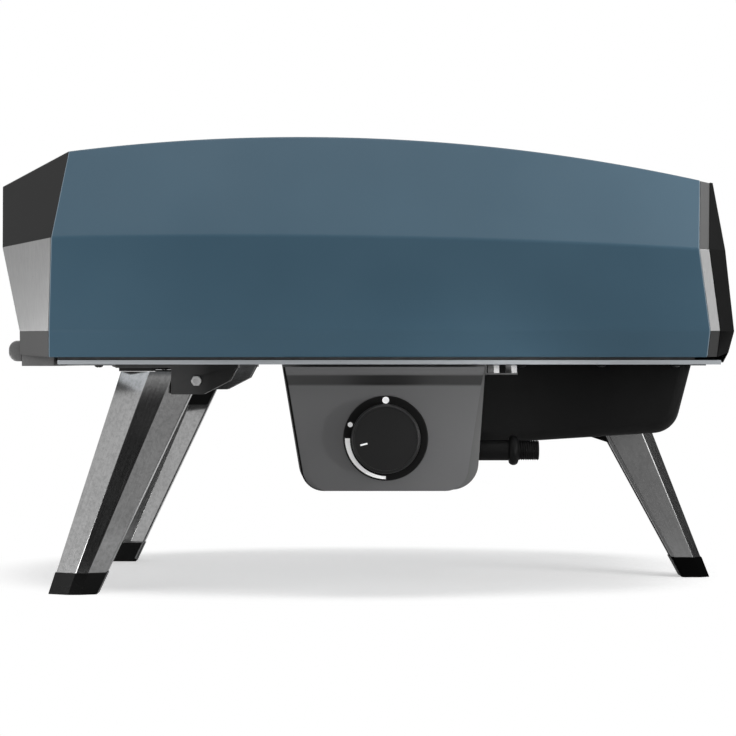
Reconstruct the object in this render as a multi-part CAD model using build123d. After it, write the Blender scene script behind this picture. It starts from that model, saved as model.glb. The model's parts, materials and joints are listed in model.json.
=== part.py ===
from build123d import *
import math
import os

# A portable gas pizza oven on three folding legs. It stands on the floor at z = 0, its mouth looks
# along -Y, and its control box hangs on the +X side. All sizes are in millimetres.

# Whole oven
overall_length = 720.0       # from the hood's nose to the heel of the rear foot
body_width = 570.0           # over the upper creases
stand_height = 227.0         # floor to the underside of the base pan
front_y = -overall_length / 2
rear_y = overall_length / 2
body_half = body_width / 2

# Body outline
roof_inset = 48.0
fold_inset = 10.0
sill_inset = 23.0
roof_rise = 213.4
crease_rise = 115.2
fold_rise = 24.9
roof_sag = 36.35
roof_crown_setback = 290.5
crease_sag = 8.35
crease_crown_setback = 225.8
form_steps = 6
roof_half = body_half - roof_inset
fold_half = body_half - fold_inset
sill_half = body_half - sill_inset
roof_crown_y = front_y + roof_crown_setback
crease_crown_y = front_y + crease_crown_setback
roof_radius = (rear_y ** 2 + roof_sag ** 2) / (2 * roof_sag)
crease_radius = (rear_y ** 2 + crease_sag ** 2) / (2 * crease_sag)

# Sheets, fits and overruns
shell_wall = 1.2
liner_wall = 0.8
layer_gap = 0.3
blanket_wall = 22.0
joint_gap = 0.4
fit_gap = 0.05
overrun = 60.0
hex_sides = 6

# Base pan and seal
base_plate = 1.2
base_rim = 4.3
base_lip = 22.0
base_inset = 27.0
base_front_setback = 58.7
base_rear_setback = 25.0
seal_height = 2.7
seal_width = 9.0
seal_setback = 2.0
sill_flange = 15.0
base_half = body_half - base_inset
base_top_z = stand_height + base_rim
sill_z = base_top_z + seal_height
fold_z = sill_z + fold_rise

# Ends of the body shell, seen from the side
hood_depth = 66.9
front_crease_lean = 10.4
front_fold_lean = 3.8
front_sill_lean = 1.8
rear_setback = 42.3
rear_crease_lean = 7.4
rear_fold_lean = 11.9
rear_sill_lean = 1.0
front_roof_y = front_y + hood_depth
front_crease_y = front_roof_y - front_crease_lean
front_fold_y = front_crease_y - front_fold_lean
front_sill_y = front_fold_y - front_sill_lean
rear_roof_y = rear_y - rear_setback
rear_crease_y = rear_roof_y - rear_crease_lean
rear_fold_y = rear_crease_y + rear_fold_lean
rear_sill_y = rear_fold_y - rear_sill_lean
form_front_y = front_sill_y - overrun
form_rear_y = rear_fold_y + overrun

# Hood
hood_wall = 1.5
hood_taper = 23.0
nose_drop = 33.0
nose_crease_back = 6.6
nose_crease_drop = 8.2
nose_fold_back = 16.4
nose_sill_back = -1.6
nose_sill_rise = 2.6

# Mouth, landing and rolled lip
mouth_setback = 70.6
mouth_inset = 45.0
mouth_height = 105.0
mouth_corner = 40.0
mouth_wall = 1.5
mouth_collar = 26.0
landing_inset = 14.0
landing_rise = 16.0
landing_wall = 1.2
landing_skirt = 24.5
landing_front_setback = 22.3
landing_rear_setback = 53.4
landing_tongue_gap = 3.0
landing_tab = 44.0
landing_screw_edge = 12.0
landing_screw_inset = 68.0
lip_reach = 12.5
lip_height = 20.0
lip_corner = 8.5
landing_z = sill_z + landing_rise
landing_half = base_half - landing_inset
landing_front_y = front_y + landing_front_setback
landing_rear_y = front_y + landing_rear_setback
mouth_y = front_y + mouth_setback
mouth_half = body_half - blanket_wall - mouth_inset
landing_screw_spread = mouth_half - landing_screw_inset

# Floor, stone and its rails
floor_inset = 18.0
board_thickness = 14.0
floor_wall = 1.2
rail_height = 4.2
rail_width = 12.0
rail_inset = 78.0
stone_side_gap = 3.0
stone_thickness = 15.0
stone_edge = 2.0
stone_setback = 125.0
stone_rear_gap = 40.0
stone_seat_gap = 0.3
board_top_z = base_top_z + board_thickness
floor_z = board_top_z + floor_wall
floor_half = base_half - floor_inset
rail_spread = mouth_half - rail_inset
stone_half = mouth_half - stone_side_gap
stone_z = floor_z + rail_height + stone_seat_gap
stone_front_y = front_y + stone_setback

# Cavity lining
lining_front_gap = 3.0
liner_rear_setback = 58.0
rear_blanket_wall = 14.0
liner_rear_y = rear_y - liner_rear_setback

# Rear trim and cap
trim_width = 9.4
trim_wall = 1.5
trim_sink = 0.5
cap_wall = 1.5
cap_reach_top = 3.2
cap_reach_fold = 16.5
cap_taper = 23.0
cap_bottom_back = 4.8
cap_bottom_drop = 20.5
cap_heel_back = 5.0
cap_heel_drop = 9.5
vent_rows = 4
vent_count = 7
vent_bridge = 10.0
vent_height = 5.0
vent_inset = 105.0
vent_row_pitch = 15.0
vent_rise = 96.0
cap_screw_height_shares = (0.12, 0.9)
cap_screw_width_shares = (-0.85, 0.0, 0.85)
vent_pitch = 2 * (roof_half - vent_inset) / (vent_count - 1)
vent_length = vent_pitch - vent_bridge

# Burner tub
tub_inset = 135.0
tub_wall = 1.2
tub_corner = 27.0
tub_edge = 12.0
tub_flange = 12.0
tub_rear_setback = 37.5
tub_length = 277.5
tub_front_lean = 40.0
tub_rear_lean = 17.5
tub_front_drop = 82.2
tub_rear_drop = 68.3
recess_half = 26.0
recess_length = 142.5
recess_drop = 45.0
tub_half = body_half - tub_inset
tub_top_z = stand_height - tub_wall
tub_top_rear_y = rear_y - tub_rear_setback
tub_top_front_y = tub_top_rear_y - tub_length
tub_bottom_front_y = tub_top_front_y + tub_front_lean
tub_bottom_rear_y = tub_top_rear_y - tub_rear_lean
recess_front_y = tub_top_rear_y - recess_length
recess_z = stand_height - recess_drop

# Burner, its feed and its sensors
burner_setback = 98.0
burner_rise = 15.8
burner_radius = 14.0
burner_inset = 95.0
burner_wall = 1.2
port_radius = 1.6
port_count = 24
port_inset = 29.0
saddle_wall = 2.0
saddle_inset = 40.0
saddle_width = 20.0
mixer_drop = 27.0
mixer_radius = 11.0
mixer_wall = 1.5
mixer_bend = 24.0
mixer_setback = 29.0
bell_radius = 16.0
bell_length = 28.0
bell_window = 9.0
shutter_wall = 1.0
shutter_length = 12.0
jet_flat = 8.0
jet_head = 5.0
jet_radius = 5.0
jet_length = 9.0
jet_bore = 0.6
feed_radius = 4.0
feed_bend = 12.0
feed_setback = 18.0
feed_hole_gap = 0.5
guard_setback = 37.0
guard_height = 34.0
guard_inset = 85.0
guard_wall = 1.2
guard_slot_length = 22.0
guard_slot_height = 6.0
guard_slot_inset = 24.0
guard_slot_count = 12
guard_foot = 6.0
riser_hole = 16.0
sensor_inset = 165.0
spark_radius = 4.0
spark_length = 26.0
spark_tip = 1.0
spark_reach = 9.0
thermo_radius = 2.5
thermo_length = 34.0
sensor_rise = 40.0
burner_z = floor_z + burner_rise
burner_y = rear_y - burner_setback
burner_half = body_half - burner_inset
port_pitch = 2 * (burner_half - port_inset) / (port_count - 1)
saddle_spread = burner_half - saddle_inset
mixer_z = stand_height - mixer_drop
mixer_front_y = tub_bottom_front_y + mixer_setback
feed_y = mixer_front_y - feed_setback
guard_y = burner_y - guard_setback
guard_half = body_half - guard_inset
guard_slot_pitch = 2 * (guard_half - guard_slot_inset) / (guard_slot_count - 1)
sensor_spread = body_half - sensor_inset
stone_rear_y = guard_y - stone_rear_gap

# Control box
box_face_inset = 33.0
box_wall = 1.5
box_joggle = 10.0
box_band = 7.1
box_slope = 10.2
box_top_gap = 2.4
box_height = 121.7
box_corner = 22.0
box_top_front = 98.4
box_top_rear = 94.4
box_bottom_front = 78.2
box_bottom_rear = 76.2
housing_wall = 1.2
housing_lip = 14.0
housing_depth = 44.5
housing_corner = 26.0
housing_grow_front = 1.6
housing_grow_top_rear = 1.6
housing_grow_bottom_rear = 11.3
housing_bottom_rise = 1.2
knob_setback = 82.5
knob_drop = 70.9
box_face_x = body_half - box_face_inset
housing_back_x = box_face_x - box_wall - housing_depth
knob_y = feed_y - knob_setback
knob_z = stand_height - knob_drop
box_top_front_y = knob_y - box_top_front
box_top_rear_y = knob_y + box_top_rear
box_bottom_front_y = knob_y - box_bottom_front
box_bottom_rear_y = knob_y + box_bottom_rear
box_bottom_z = stand_height - box_height

# Knob, bezel and valve
bezel_radius = 40.8
bezel_height = 2.6
bezel_bore = 9.0
knob_radius = 33.0
knob_length = 20.0
knob_edge = 2.5
knob_gap = 4.6
knob_dish = 0.8
knob_rim = 3.0
knob_hub_radius = 8.0
knob_skirt = 3.0
knob_face = 3.5
print_height = 0.2
dot_radius = 3.35
small_dot_radius = 2.4
mark_radius = 36.6
small_dot_angle = 159.0
sweep_outer_radius = 39.2
sweep_start_width = 4.8
sweep_end_width = 2.9
sweep_lift = 35.35
pointer_angle = 193.5
pointer_radius = 18.0
pointer_length = 7.0
pointer_width = 1.6
stem_radius = 4.0
stem_length = 41.0
stem_seat = 6.0
valve_radius = 16.0
valve_length = 33.0
valve_flange_half = 22.0
valve_flange_wall = 2.0
valve_bore_depth = 28.0
valve_boss_radius = 8.5
valve_boss_reach = 17.5
valve_outlet_radius = 6.5
valve_outlet_rise = 9.9
valve_outlet_sink = 6.0

# Gas inlet
inlet_inset = 24.0
inlet_drop = 12.4
inlet_core_radius = 7.0
inlet_radius = 10.0
inlet_bore = 4.0
inlet_body_reach = 84.5
collar_reach = 119.5
collar_radius = 14.6
collar_length = 9.2
inlet_reach = 148.7
thread_radius = 9.7
thread_groove = 0.6
thread_pitch = 2.2
thread_count = 8
inlet_hole_gap = 0.3
inlet_x = box_face_x - inlet_inset
inlet_z = knob_z - inlet_drop
inlet_body_start_y = knob_y + inlet_body_reach
collar_start_y = knob_y + collar_reach
inlet_end_y = knob_y + inlet_reach

# Strap beside the control box
strap_length = 31.0
strap_width = 24.0
strap_wall = 1.4
strap_drop = 8.4
strap_inset = 18.0
spacer_radius = 6.5
spacer_offset = 8.5
spacer_pitch = 17.0
strap_x = box_face_x - strap_inset

# Front legs, each seen from outside at its top and at the floor
leg_inset = 85.0
leg_depth = 26.0
leg_wall = 1.8
leg_top_gap = 7.0
leg_top_setback = 111.6
leg_floor_setback = 41.2
leg_bevel_top = 29.5
leg_bevel_floor = 19.8
leg_side_top = 24.8
leg_side_floor = 11.0
leg_back_top = 26.2
leg_back_floor = 15.8
leg_bevel_angle = 25.0
leg_back_angle = 20.0
leg_end_z = 3.0
foot_height = 21.5
foot_wall = 1.0
hub_clear = 0.3
hub_height = 40.0
hub_radius = 11.0
hub_notch_gap = 0.4
pivot_back = 76.1
pivot_drop = 9.2
pivot_radius = 4.0
pivot_head = 3.0
pivot_head_radius = 5.5
pivot_nut = 4.0
pivot_nut_radius = 6.0
cheek_wall = 2.5
cheek_gap = 0.8
cheek_ahead = 25.0
cheek_behind = 40.8
cheek_drop = 29.5
cheek_waist = 6.3
cheek_rise = 32.3
cheek_rise_drop = 16.0
bracket_plate = 3.5
bracket_ahead = 3.6
stop_ahead = 0.6
stop_length = 34.0
stop_gap = 0.3
leg_outer_x = body_half - leg_inset
leg_top_z = stand_height - leg_top_gap
leg_front_top_y = front_y + leg_top_setback
leg_front_floor_y = front_y + leg_floor_setback
hub_start_z = leg_top_z - hub_height
pivot_y = leg_front_top_y + pivot_back
pivot_z = leg_top_z - pivot_drop
cheek_front_y = pivot_y - cheek_ahead
cheek_rear_y = pivot_y + cheek_behind
cheek_bottom_z = stand_height - cheek_drop
cheek_waist_y = pivot_y + cheek_waist
cheek_rise_y = pivot_y + cheek_rise
cheek_rise_z = stand_height - cheek_rise_drop
bracket_front_y = leg_front_top_y - bracket_ahead
stop_front_y = leg_front_top_y - stop_ahead

# Rear leg
rear_leg_half = 17.0
rear_leg_wall = 1.8
rear_leg_top_gap = 14.0
rear_leg_front_top = 120.7
rear_leg_front_floor = 29.0
rear_leg_back_top = 66.2
rear_leg_lip_top = 3.4
rear_leg_lip_floor = 2.4
rear_leg_bevel_top = 12.4
rear_leg_bevel_floor = 8.5
rear_leg_lip_share = 0.7
rear_leg_bevel_share = 0.66
rear_leg_slot_half = 9.0
rear_pivot_setback = 144.0
rear_pivot_drop = 3.0
rear_pivot_radius = 4.0
rear_barrel_radius = 10.0
rear_hub_height = 32.0
rear_web_half = 8.5
rear_cheek_gap = 0.6
rear_cheek_wall = 2.0
rear_cheek_reach = 14.0
rear_cheek_drop = 10.0
rear_pin_reach = 2.6
rear_leg_top_z = recess_z - rear_leg_top_gap
rear_leg_front_top_y = rear_y - rear_leg_front_top
rear_leg_front_floor_y = rear_y - rear_leg_front_floor
rear_leg_back_top_y = rear_y - rear_leg_back_top
rear_pivot_y = rear_y - rear_pivot_setback
rear_pivot_z = rear_leg_top_z - rear_pivot_drop
rear_hub_start_z = rear_leg_top_z - rear_hub_height

# Screws
screw_radius = 2.4
screw_head_radius = 4.4
screw_head = 2.2
screw_length = 7.0
cap_screw_radius = 3.4
cap_screw_head = 1.6
tub_screw_shares = (0.09, 0.38, 0.667, 0.937)
box_screw_offsets = (-82.8, 34.3)
box_screw_inset = 28.0
bracket_screw_offsets = (-32.9, 24.3)


# Outlines and simple solids


def polygon(points):
    """A flat face from its corner points in space."""
    return Face(Wire.make_polygon([Vector(*point) for point in points], close=True))


def rounded(points, radii):
    """A flat face from corner points in space, each corner rounded to its radius, or sharp at zero."""
    corners = [Vector(*point) for point in points]
    arcs = []
    for index, corner in enumerate(corners):
        back = (corners[index - 1] - corner).normalized()
        ahead = (corners[(index + 1) % len(corners)] - corner).normalized()
        radius = radii[index]
        if radius == 0:
            arcs.append((corner, None, corner))
            continue
        half = math.radians(back.get_angle(ahead)) / 2
        reach = radius / math.tan(half)
        centre = corner + (back + ahead).normalized() * (radius / math.sin(half))
        middle = centre + (corner - centre).normalized() * radius
        arcs.append((corner + back * reach, middle, corner + ahead * reach))
    edges = []
    for index, (start, middle, end) in enumerate(arcs):
        if middle is not None:
            edges.append(Edge.make_three_point_arc(start, middle, end))
        edges.append(Edge.make_line(end, arcs[(index + 1) % len(arcs)][0]))
    return Face(Wire(edges))


def along_x(points, x_from, x_to, radii=None):
    """A bar from x_from to x_to with the (y, z) outline given."""
    corners = [(x_from, y, z) for y, z in points]
    face = rounded(corners, radii) if radii else polygon(corners)
    return Solid.extrude(face, Vector(x_to - x_from, 0, 0))


def along_y(points, y_from, y_to, radii=None):
    """A bar from y_from to y_to with the (x, z) outline given."""
    corners = [(x, y_from, z) for x, z in points]
    face = rounded(corners, radii) if radii else polygon(corners)
    return Solid.extrude(face, Vector(0, y_to - y_from, 0))


def along_z(points, z_from, z_to, radii=None):
    """A bar from z_from to z_to with the (x, y) outline given."""
    corners = [(x, y, z_from) for x, y in points]
    face = rounded(corners, radii) if radii else polygon(corners)
    return Solid.extrude(face, Vector(0, 0, z_to - z_from))


def block(x_from, x_to, y_from, y_to, z_from, z_to):
    """A plain box between two values on each axis."""
    return along_z([(x_from, y_from), (x_to, y_from), (x_to, y_to), (x_from, y_to)], z_from, z_to)


def rod_x(y, z, radius, x_from, x_to):
    """A round bar along X."""
    return Solid.make_cylinder(radius, x_to - x_from, Plane((x_from, y, z), (0, 1, 0), (1, 0, 0)))


def rod_y(x, z, radius, y_from, y_to):
    """A round bar along Y."""
    return Solid.make_cylinder(radius, y_to - y_from, Plane((x, y_from, z), (0, 0, 1), (0, 1, 0)))


def rod_z(x, y, radius, z_from, z_to):
    """A round bar along Z."""
    return Solid.make_cylinder(radius, z_to - z_from, Plane((x, y, z_from), (1, 0, 0), (0, 0, 1)))


def hexagon_z(x, y, radius, z_from, z_to):
    """A six-sided bar along Z."""
    turns = [2 * math.pi * index / hex_sides for index in range(hex_sides)]
    return along_z([(x + radius * math.cos(t), y + radius * math.sin(t)) for t in turns], z_from, z_to)


def hexagon_x(y, z, radius, x_from, x_to):
    """A six-sided bar along X."""
    turns = [2 * math.pi * index / hex_sides for index in range(hex_sides)]
    return along_x([(y + radius * math.cos(t), z + radius * math.sin(t)) for t in turns], x_from, x_to)


def joined(solids):
    """The solids fused into one."""
    whole = solids[0]
    for solid in solids[1:]:
        whole = whole + solid
    return whole


def apart(solids):
    """The solids as one group, each still its own piece."""
    return Compound([piece for solid in solids for piece in solid.solids()])


def other_side(solid):
    """The solid mirrored to the other side of the oven."""
    return mirror(solid, about=Plane.YZ)


def both_sides(solid):
    """The solid and its mirror image, as one group."""
    return apart([solid, other_side(solid)])


# Body outline


def roof_z(y):
    """Height of the roof at y, along its long arc."""
    sag = roof_radius - math.sqrt(roof_radius ** 2 - (y - roof_crown_y) ** 2)
    return sill_z + roof_rise - sag


def crease_z(y):
    """Height of the upper crease at y."""
    sag = crease_radius - math.sqrt(crease_radius ** 2 - (y - crease_crown_y) ** 2)
    return sill_z + crease_rise - sag


def moved_in(corners, distances):
    """A clockwise convex outline with each side moved inwards by its distance."""
    lines = []
    for here, there, distance in zip(corners, corners[1:] + corners[:1], distances):
        length = math.dist(here, there)
        run = ((there[0] - here[0]) / length, (there[1] - here[1]) / length)
        lines.append(((here[0] + run[1] * distance, here[1] - run[0] * distance), run))
    moved = []
    for (p, a), (q, b) in zip(lines[-1:] + lines[:-1], lines):
        cross = a[0] * b[1] - a[1] * b[0]
        along = ((q[0] - p[0]) * b[1] - (q[1] - p[1]) * b[0]) / cross
        moved.append((p[0] + a[0] * along, p[1] + a[1] * along))
    return moved


def section(y, inset):
    """The body's outline at y, clockwise from the lower left, with all but its open bottom moved in."""
    left = [
        (-sill_half, sill_z),
        (-fold_half, fold_z),
        (-body_half, crease_z(y)),
        (-roof_half, roof_z(y)),
    ]
    right = [(-x, z) for x, z in reversed(left)]
    return moved_in(left + right, [inset] * 7 + [0])


def body_form(inset):
    """The volume inside the body's outline, every side but the bottom moved in by the inset."""
    wires = []
    for step in range(form_steps + 1):
        y = form_front_y + (form_rear_y - form_front_y) * step / form_steps
        wires.append(Wire.make_polygon([Vector(x, y, z) for x, z in section(y, inset)], close=True))
    return Solid.make_loft(wires, ruled=False)


def front_line(ahead):
    """The body's front end seen from the side, from below the sill to above the roof."""
    low_z = sill_z - overrun
    high_z = sill_z + roof_rise + overrun
    points = [
        (front_sill_y, low_z),
        (front_sill_y, sill_z),
        (front_fold_y, fold_z),
        (front_crease_y, crease_z(front_crease_y)),
        (front_roof_y, roof_z(front_roof_y)),
        (front_roof_y, high_z),
    ]
    return [(y - ahead, z) for y, z in points]


def rear_line(behind):
    """The body's rear end seen from the side, from below the sill to above the roof."""
    low_z = sill_z - overrun
    high_z = sill_z + roof_rise + overrun
    points = [
        (rear_sill_y, low_z),
        (rear_sill_y, sill_z),
        (rear_fold_y, fold_z),
        (rear_crease_y, crease_z(rear_crease_y)),
        (rear_roof_y, roof_z(rear_roof_y)),
        (rear_roof_y, high_z),
    ]
    return [(y + behind, z) for y, z in points]


def between(front_points, rear_points):
    """The space between two side-on lines, across the whole oven."""
    return along_x(front_points + rear_points[::-1], -body_width, body_width)


# Body shell and its layers


def outer_shell():
    """The painted roof and sides, with a narrow flange turned in along each sill."""
    skin = body_form(0) - body_form(shell_wall)
    inner = sill_half - sill_flange
    flange = along_y(
        [
            (inner, sill_z),
            (sill_half, sill_z),
            (sill_half, sill_z + shell_wall),
            (inner, sill_z + shell_wall),
        ],
        form_front_y,
        form_rear_y,
    )
    length = between(front_line(0), rear_line(0))
    return joined([skin, flange, other_side(flange)]) & length


def lining_space(front, rear):
    """The space above the floor pan between two y values."""
    low_z = floor_z + layer_gap
    high_z = sill_z + roof_rise + overrun
    return block(-body_width, body_width, front, rear, low_z, high_z)


def insulation_blanket():
    """The fibre blanket between the shell and the liner."""
    outside = shell_wall + layer_gap
    ring = body_form(outside) - body_form(outside + blanket_wall)
    return ring & lining_space(mouth_y + lining_front_gap, liner_rear_y)


def inner_liner():
    """The stainless arch over the stone, closed at the back."""
    outside = shell_wall + blanket_wall + 2 * layer_gap
    form = body_form(outside)
    arch = (form - body_form(outside + liner_wall)) & lining_space(mouth_y + lining_front_gap, liner_rear_y)
    back = form & lining_space(liner_rear_y - liner_wall, liner_rear_y)
    sensor_z = floor_z + sensor_rise
    holes = [
        rod_y(sensor_spread, sensor_z, spark_radius + fit_gap, liner_rear_y - overrun, liner_rear_y + overrun),
        rod_y(-sensor_spread, sensor_z, thermo_radius + fit_gap, liner_rear_y - overrun, liner_rear_y + overrun),
    ]
    return (arch + back) - joined(holes)


def rear_blanket():
    """The fibre slab behind the liner's back wall, inside the shell."""
    form = body_form(trim_sink + trim_wall + layer_gap)
    front = liner_rear_y + layer_gap
    slab = form & lining_space(front, front + rear_blanket_wall)
    sensor_z = floor_z + sensor_rise
    holes = [
        rod_y(sensor_spread, sensor_z, spark_radius + layer_gap, front - overrun, front + overrun),
        rod_y(-sensor_spread, sensor_z, thermo_radius + layer_gap, front - overrun, front + overrun),
    ]
    return slab - joined(holes)


# Hood, built from flat sheets


def across(a, b, c, y, z):
    """The x at which the plane through three points meets the given y and z."""
    normal = (Vector(*b) - Vector(*a)).cross(Vector(*c) - Vector(*a))
    return a[0] - (normal.Y * (y - a[1]) + normal.Z * (z - a[2])) / normal.X


def flat_sheet(corners, wall, inside):
    """A flat sheet with the outer corners given, growing towards the point inside."""
    face = polygon(corners)
    outward = Vector(*face.normal_at())
    if outward.dot(Vector(*inside) - face.center()) > 0:
        outward = outward * -1
    return Solid.extrude(face, outward * -wall)


def flipped(point):
    """The point on the other side of the oven."""
    return (-point[0], point[1], point[2])


def body_corners(points):
    """Corner points on the body's right side, from roof to sill, for (y, z) points of an end line."""
    sill, fold, crease, roof = points[1:5]
    return [(roof_half, *roof), (body_half, *crease), (fold_half, *fold), (sill_half, *sill)]


def nose_corners():
    """Corner points of the hood's open front on the right side, from roof to sill."""
    roof, crease, fold, sill = body_corners(front_line(0))
    crease_y = front_y + nose_crease_back
    nose_crease = (crease[0] - hood_taper, crease_y, crease[2] - nose_crease_drop)
    nose_roof = (across(roof, crease, nose_crease, front_y, roof[2] - nose_drop), front_y, roof[2] - nose_drop)
    fold_y = crease_y + nose_fold_back
    nose_fold = (across(crease, fold, nose_crease, fold_y, fold[2]), fold_y, fold[2])
    low_y = fold_y + nose_sill_back
    low_z = sill[2] + nose_sill_rise
    nose_sill = (across(fold, sill, nose_fold, low_y, low_z), low_y, low_z)
    return [nose_roof, nose_crease, nose_fold, nose_sill]


def hood_side(index):
    """One flat facet of the hood's right side: 0 at the roof, 1 the cheek, 2 at the sill."""
    rear = body_corners(front_line(0))
    nose = nose_corners()
    corners = [rear[index], nose[index], nose[index + 1], rear[index + 1]]
    return flat_sheet(corners, hood_wall, (0, front_crease_y, fold_z))


def hood_space():
    """The space ahead of the body's front end, clear of it by the joint gap."""
    ahead = front_y - overrun
    line = front_line(joint_gap)
    return along_x([(ahead, line[0][1])] + line + [(ahead, line[-1][1])], -body_width, body_width)


def hood_top():
    """The dark upper hood: roof sheet and both upper sides, bent from one piece."""
    rear = body_corners(front_line(0))[0]
    nose = nose_corners()[0]
    roof = flat_sheet([rear, nose, flipped(nose), flipped(rear)], hood_wall, (0, front_crease_y, fold_z))
    side = hood_side(0)
    return joined([roof, side, other_side(side)]) & hood_space()


def hood_cheeks():
    """The bare steel cheeks on the hood's two sides."""
    return both_sides((hood_side(1) - hood_side(0)) & hood_space())


def hood_skirts():
    """The dark facets under the hood's two cheeks."""
    return both_sides((hood_side(2) - hood_side(1)) & hood_space())


def mouth_opening(grow, y_from, y_to):
    """The mouth's arched outline, grown all round, as a bar between two y values."""
    half = mouth_half + grow
    top = landing_z + mouth_height + grow
    low = floor_z - overrun
    corner = mouth_corner + grow
    points = [(-half, low), (-half, top), (half, top), (half, low)]
    return along_y(points, y_from, y_to, [0, corner, corner, 0])


def mouth_frame():
    """The steel front wall around the mouth, with a collar turned into the cavity."""
    rear_of_wall = mouth_y + mouth_wall
    outline = section(mouth_y, shell_wall + layer_gap)
    wall = along_y(outline, mouth_y, rear_of_wall) & lining_space(mouth_y - overrun, rear_of_wall + overrun)
    collar = mouth_opening(mouth_wall, rear_of_wall, mouth_y + mouth_collar)
    collar = collar & lining_space(mouth_y - overrun, rear_of_wall + overrun)
    return joined([wall, collar]) - mouth_opening(0, mouth_y - overrun, mouth_y + mouth_collar + overrun)


def landing_pan():
    """The landing ahead of the stone: a folded tray with a tongue through the mouth."""
    wall = landing_wall
    skirt_z = landing_z - landing_skirt
    tray = block(-landing_half, landing_half, landing_front_y, landing_rear_y, skirt_z, landing_z)
    hollow = block(
        -landing_half + wall,
        landing_half - wall,
        landing_front_y + wall,
        landing_rear_y - wall,
        skirt_z - overrun,
        landing_z - wall,
    )
    tongue_half = mouth_half - landing_wall
    tongue_rear = stone_front_y - landing_tongue_gap
    tongue = block(-tongue_half, tongue_half, landing_rear_y, tongue_rear, landing_z - wall, landing_z)
    tab_half = landing_screw_spread + landing_screw_edge
    tab_rear = landing_rear_y + landing_tab
    tab = block(-tab_half, tab_half, landing_rear_y, tab_rear, stand_height - wall, stand_height)
    tray = joined([tray - hollow, tongue, tab])
    return tray - joined(screw_holes(landing_screw_places()))


def front_lip():
    """The rolled lip along the front of the landing."""
    rear = landing_front_y - fit_gap
    ahead = rear - lip_reach
    points = [(rear, landing_z - lip_height), (ahead, landing_z - lip_height), (ahead, landing_z), (rear, landing_z)]
    wall = landing_wall
    inner = [
        (rear - wall, landing_z - lip_height + wall),
        (ahead + wall, landing_z - lip_height + wall),
        (ahead + wall, landing_z - wall),
        (rear - wall, landing_z - wall),
    ]
    roll = along_x(points, -landing_half, landing_half, [0, lip_corner, lip_corner, 0])
    bore = along_x(inner, -landing_half - overrun, landing_half + overrun, [0, lip_corner - wall, lip_corner - wall, 0])
    return roll - bore


# Floor of the cavity


def floor_board():
    """The insulating board on the base pan's lip, with a hole for the burner's riser."""
    front = mouth_y + lining_front_gap
    rear = liner_rear_y
    board = block(-floor_half, floor_half, front, rear, base_top_z, board_top_z)
    return board - rod_z(0, burner_y, riser_hole, base_top_z - overrun, board_top_z + overrun)


def floor_pan():
    """The stainless sheet over the insulating board."""
    front = mouth_y + lining_front_gap
    sheet = block(-floor_half, floor_half, front, liner_rear_y, board_top_z, floor_z)
    return sheet - rod_z(0, burner_y, riser_hole, board_top_z - overrun, floor_z + overrun)


def stone_rails():
    """Three rails that carry the stone clear of the floor."""
    rails = []
    for x in (-rail_spread, 0, rail_spread):
        half = rail_width / 2
        front = stone_front_y + rail_width
        rails.append(block(x - half, x + half, front, stone_rear_y - rail_width, floor_z, floor_z + rail_height))
    return apart(rails)


def pizza_stone():
    """The loose baking stone, its top edges eased."""
    stone = block(-stone_half, stone_half, stone_front_y, stone_rear_y, stone_z, stone_z + stone_thickness)
    return stone.chamfer(stone_edge, stone_edge, stone.faces().sort_by(Axis.Z)[-1].edges())


# Base pan and its seal


def base_pan():
    """The steel tray under the body, its rim turned up and in."""
    front = front_y + base_front_setback
    rear = rear_y - base_rear_setback
    wall = base_plate
    pan = block(-base_half, base_half, front, rear, stand_height, base_top_z)
    room = block(-base_half + wall, base_half - wall, front + wall, rear - wall, stand_height + wall, base_top_z - wall)
    window = block(
        -base_half + base_lip,
        base_half - base_lip,
        front + base_lip,
        rear - base_lip,
        stand_height + wall,
        base_top_z + overrun,
    )
    riser = rod_z(0, burner_y, riser_hole, stand_height - overrun, base_top_z + overrun)
    return pan - room - window - riser - joined(screw_holes(all_screw_places()))


def base_seal():
    """The dark strips that close the gap between base pan and shell, down both sides."""
    outer = base_half - seal_setback
    front = front_y + base_front_setback
    strip = block(outer - seal_width, outer, front, rear_crease_y, base_top_z, sill_z)
    return both_sides(strip)


# Rear trim and rear cap


def trim_ring():
    """The band behind the shell, a little sunk, from which the three trim colours are cut."""
    ring = body_form(trim_sink) - body_form(trim_sink + trim_wall)
    return ring & between(rear_line(joint_gap), rear_line(trim_width))


def trim_cut(z_from, z_to):
    """The part of the rear trim between two heights."""
    return trim_ring() & block(-body_width, body_width, 0, rear_y + overrun, z_from, z_to)


def rear_trim_top():
    """The grey trim over the roof and down to the creases."""
    return trim_cut(crease_z(rear_crease_y), sill_z + roof_rise + overrun)


def rear_trim_cheeks():
    """The two bright trim strips between crease and fold."""
    return apart([trim_cut(fold_z, crease_z(rear_crease_y))])


def rear_trim_skirts():
    """The two dark trim pieces below the fold."""
    return apart([trim_cut(sill_z, fold_z)])


def cap_space():
    """The space behind the rear trim, clear of it by the joint gap."""
    behind = rear_y + overrun
    line = rear_line(trim_width + joint_gap)
    return along_x([(behind, line[0][1])] + line + [(behind, line[-1][1])], -body_width, body_width)


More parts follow.
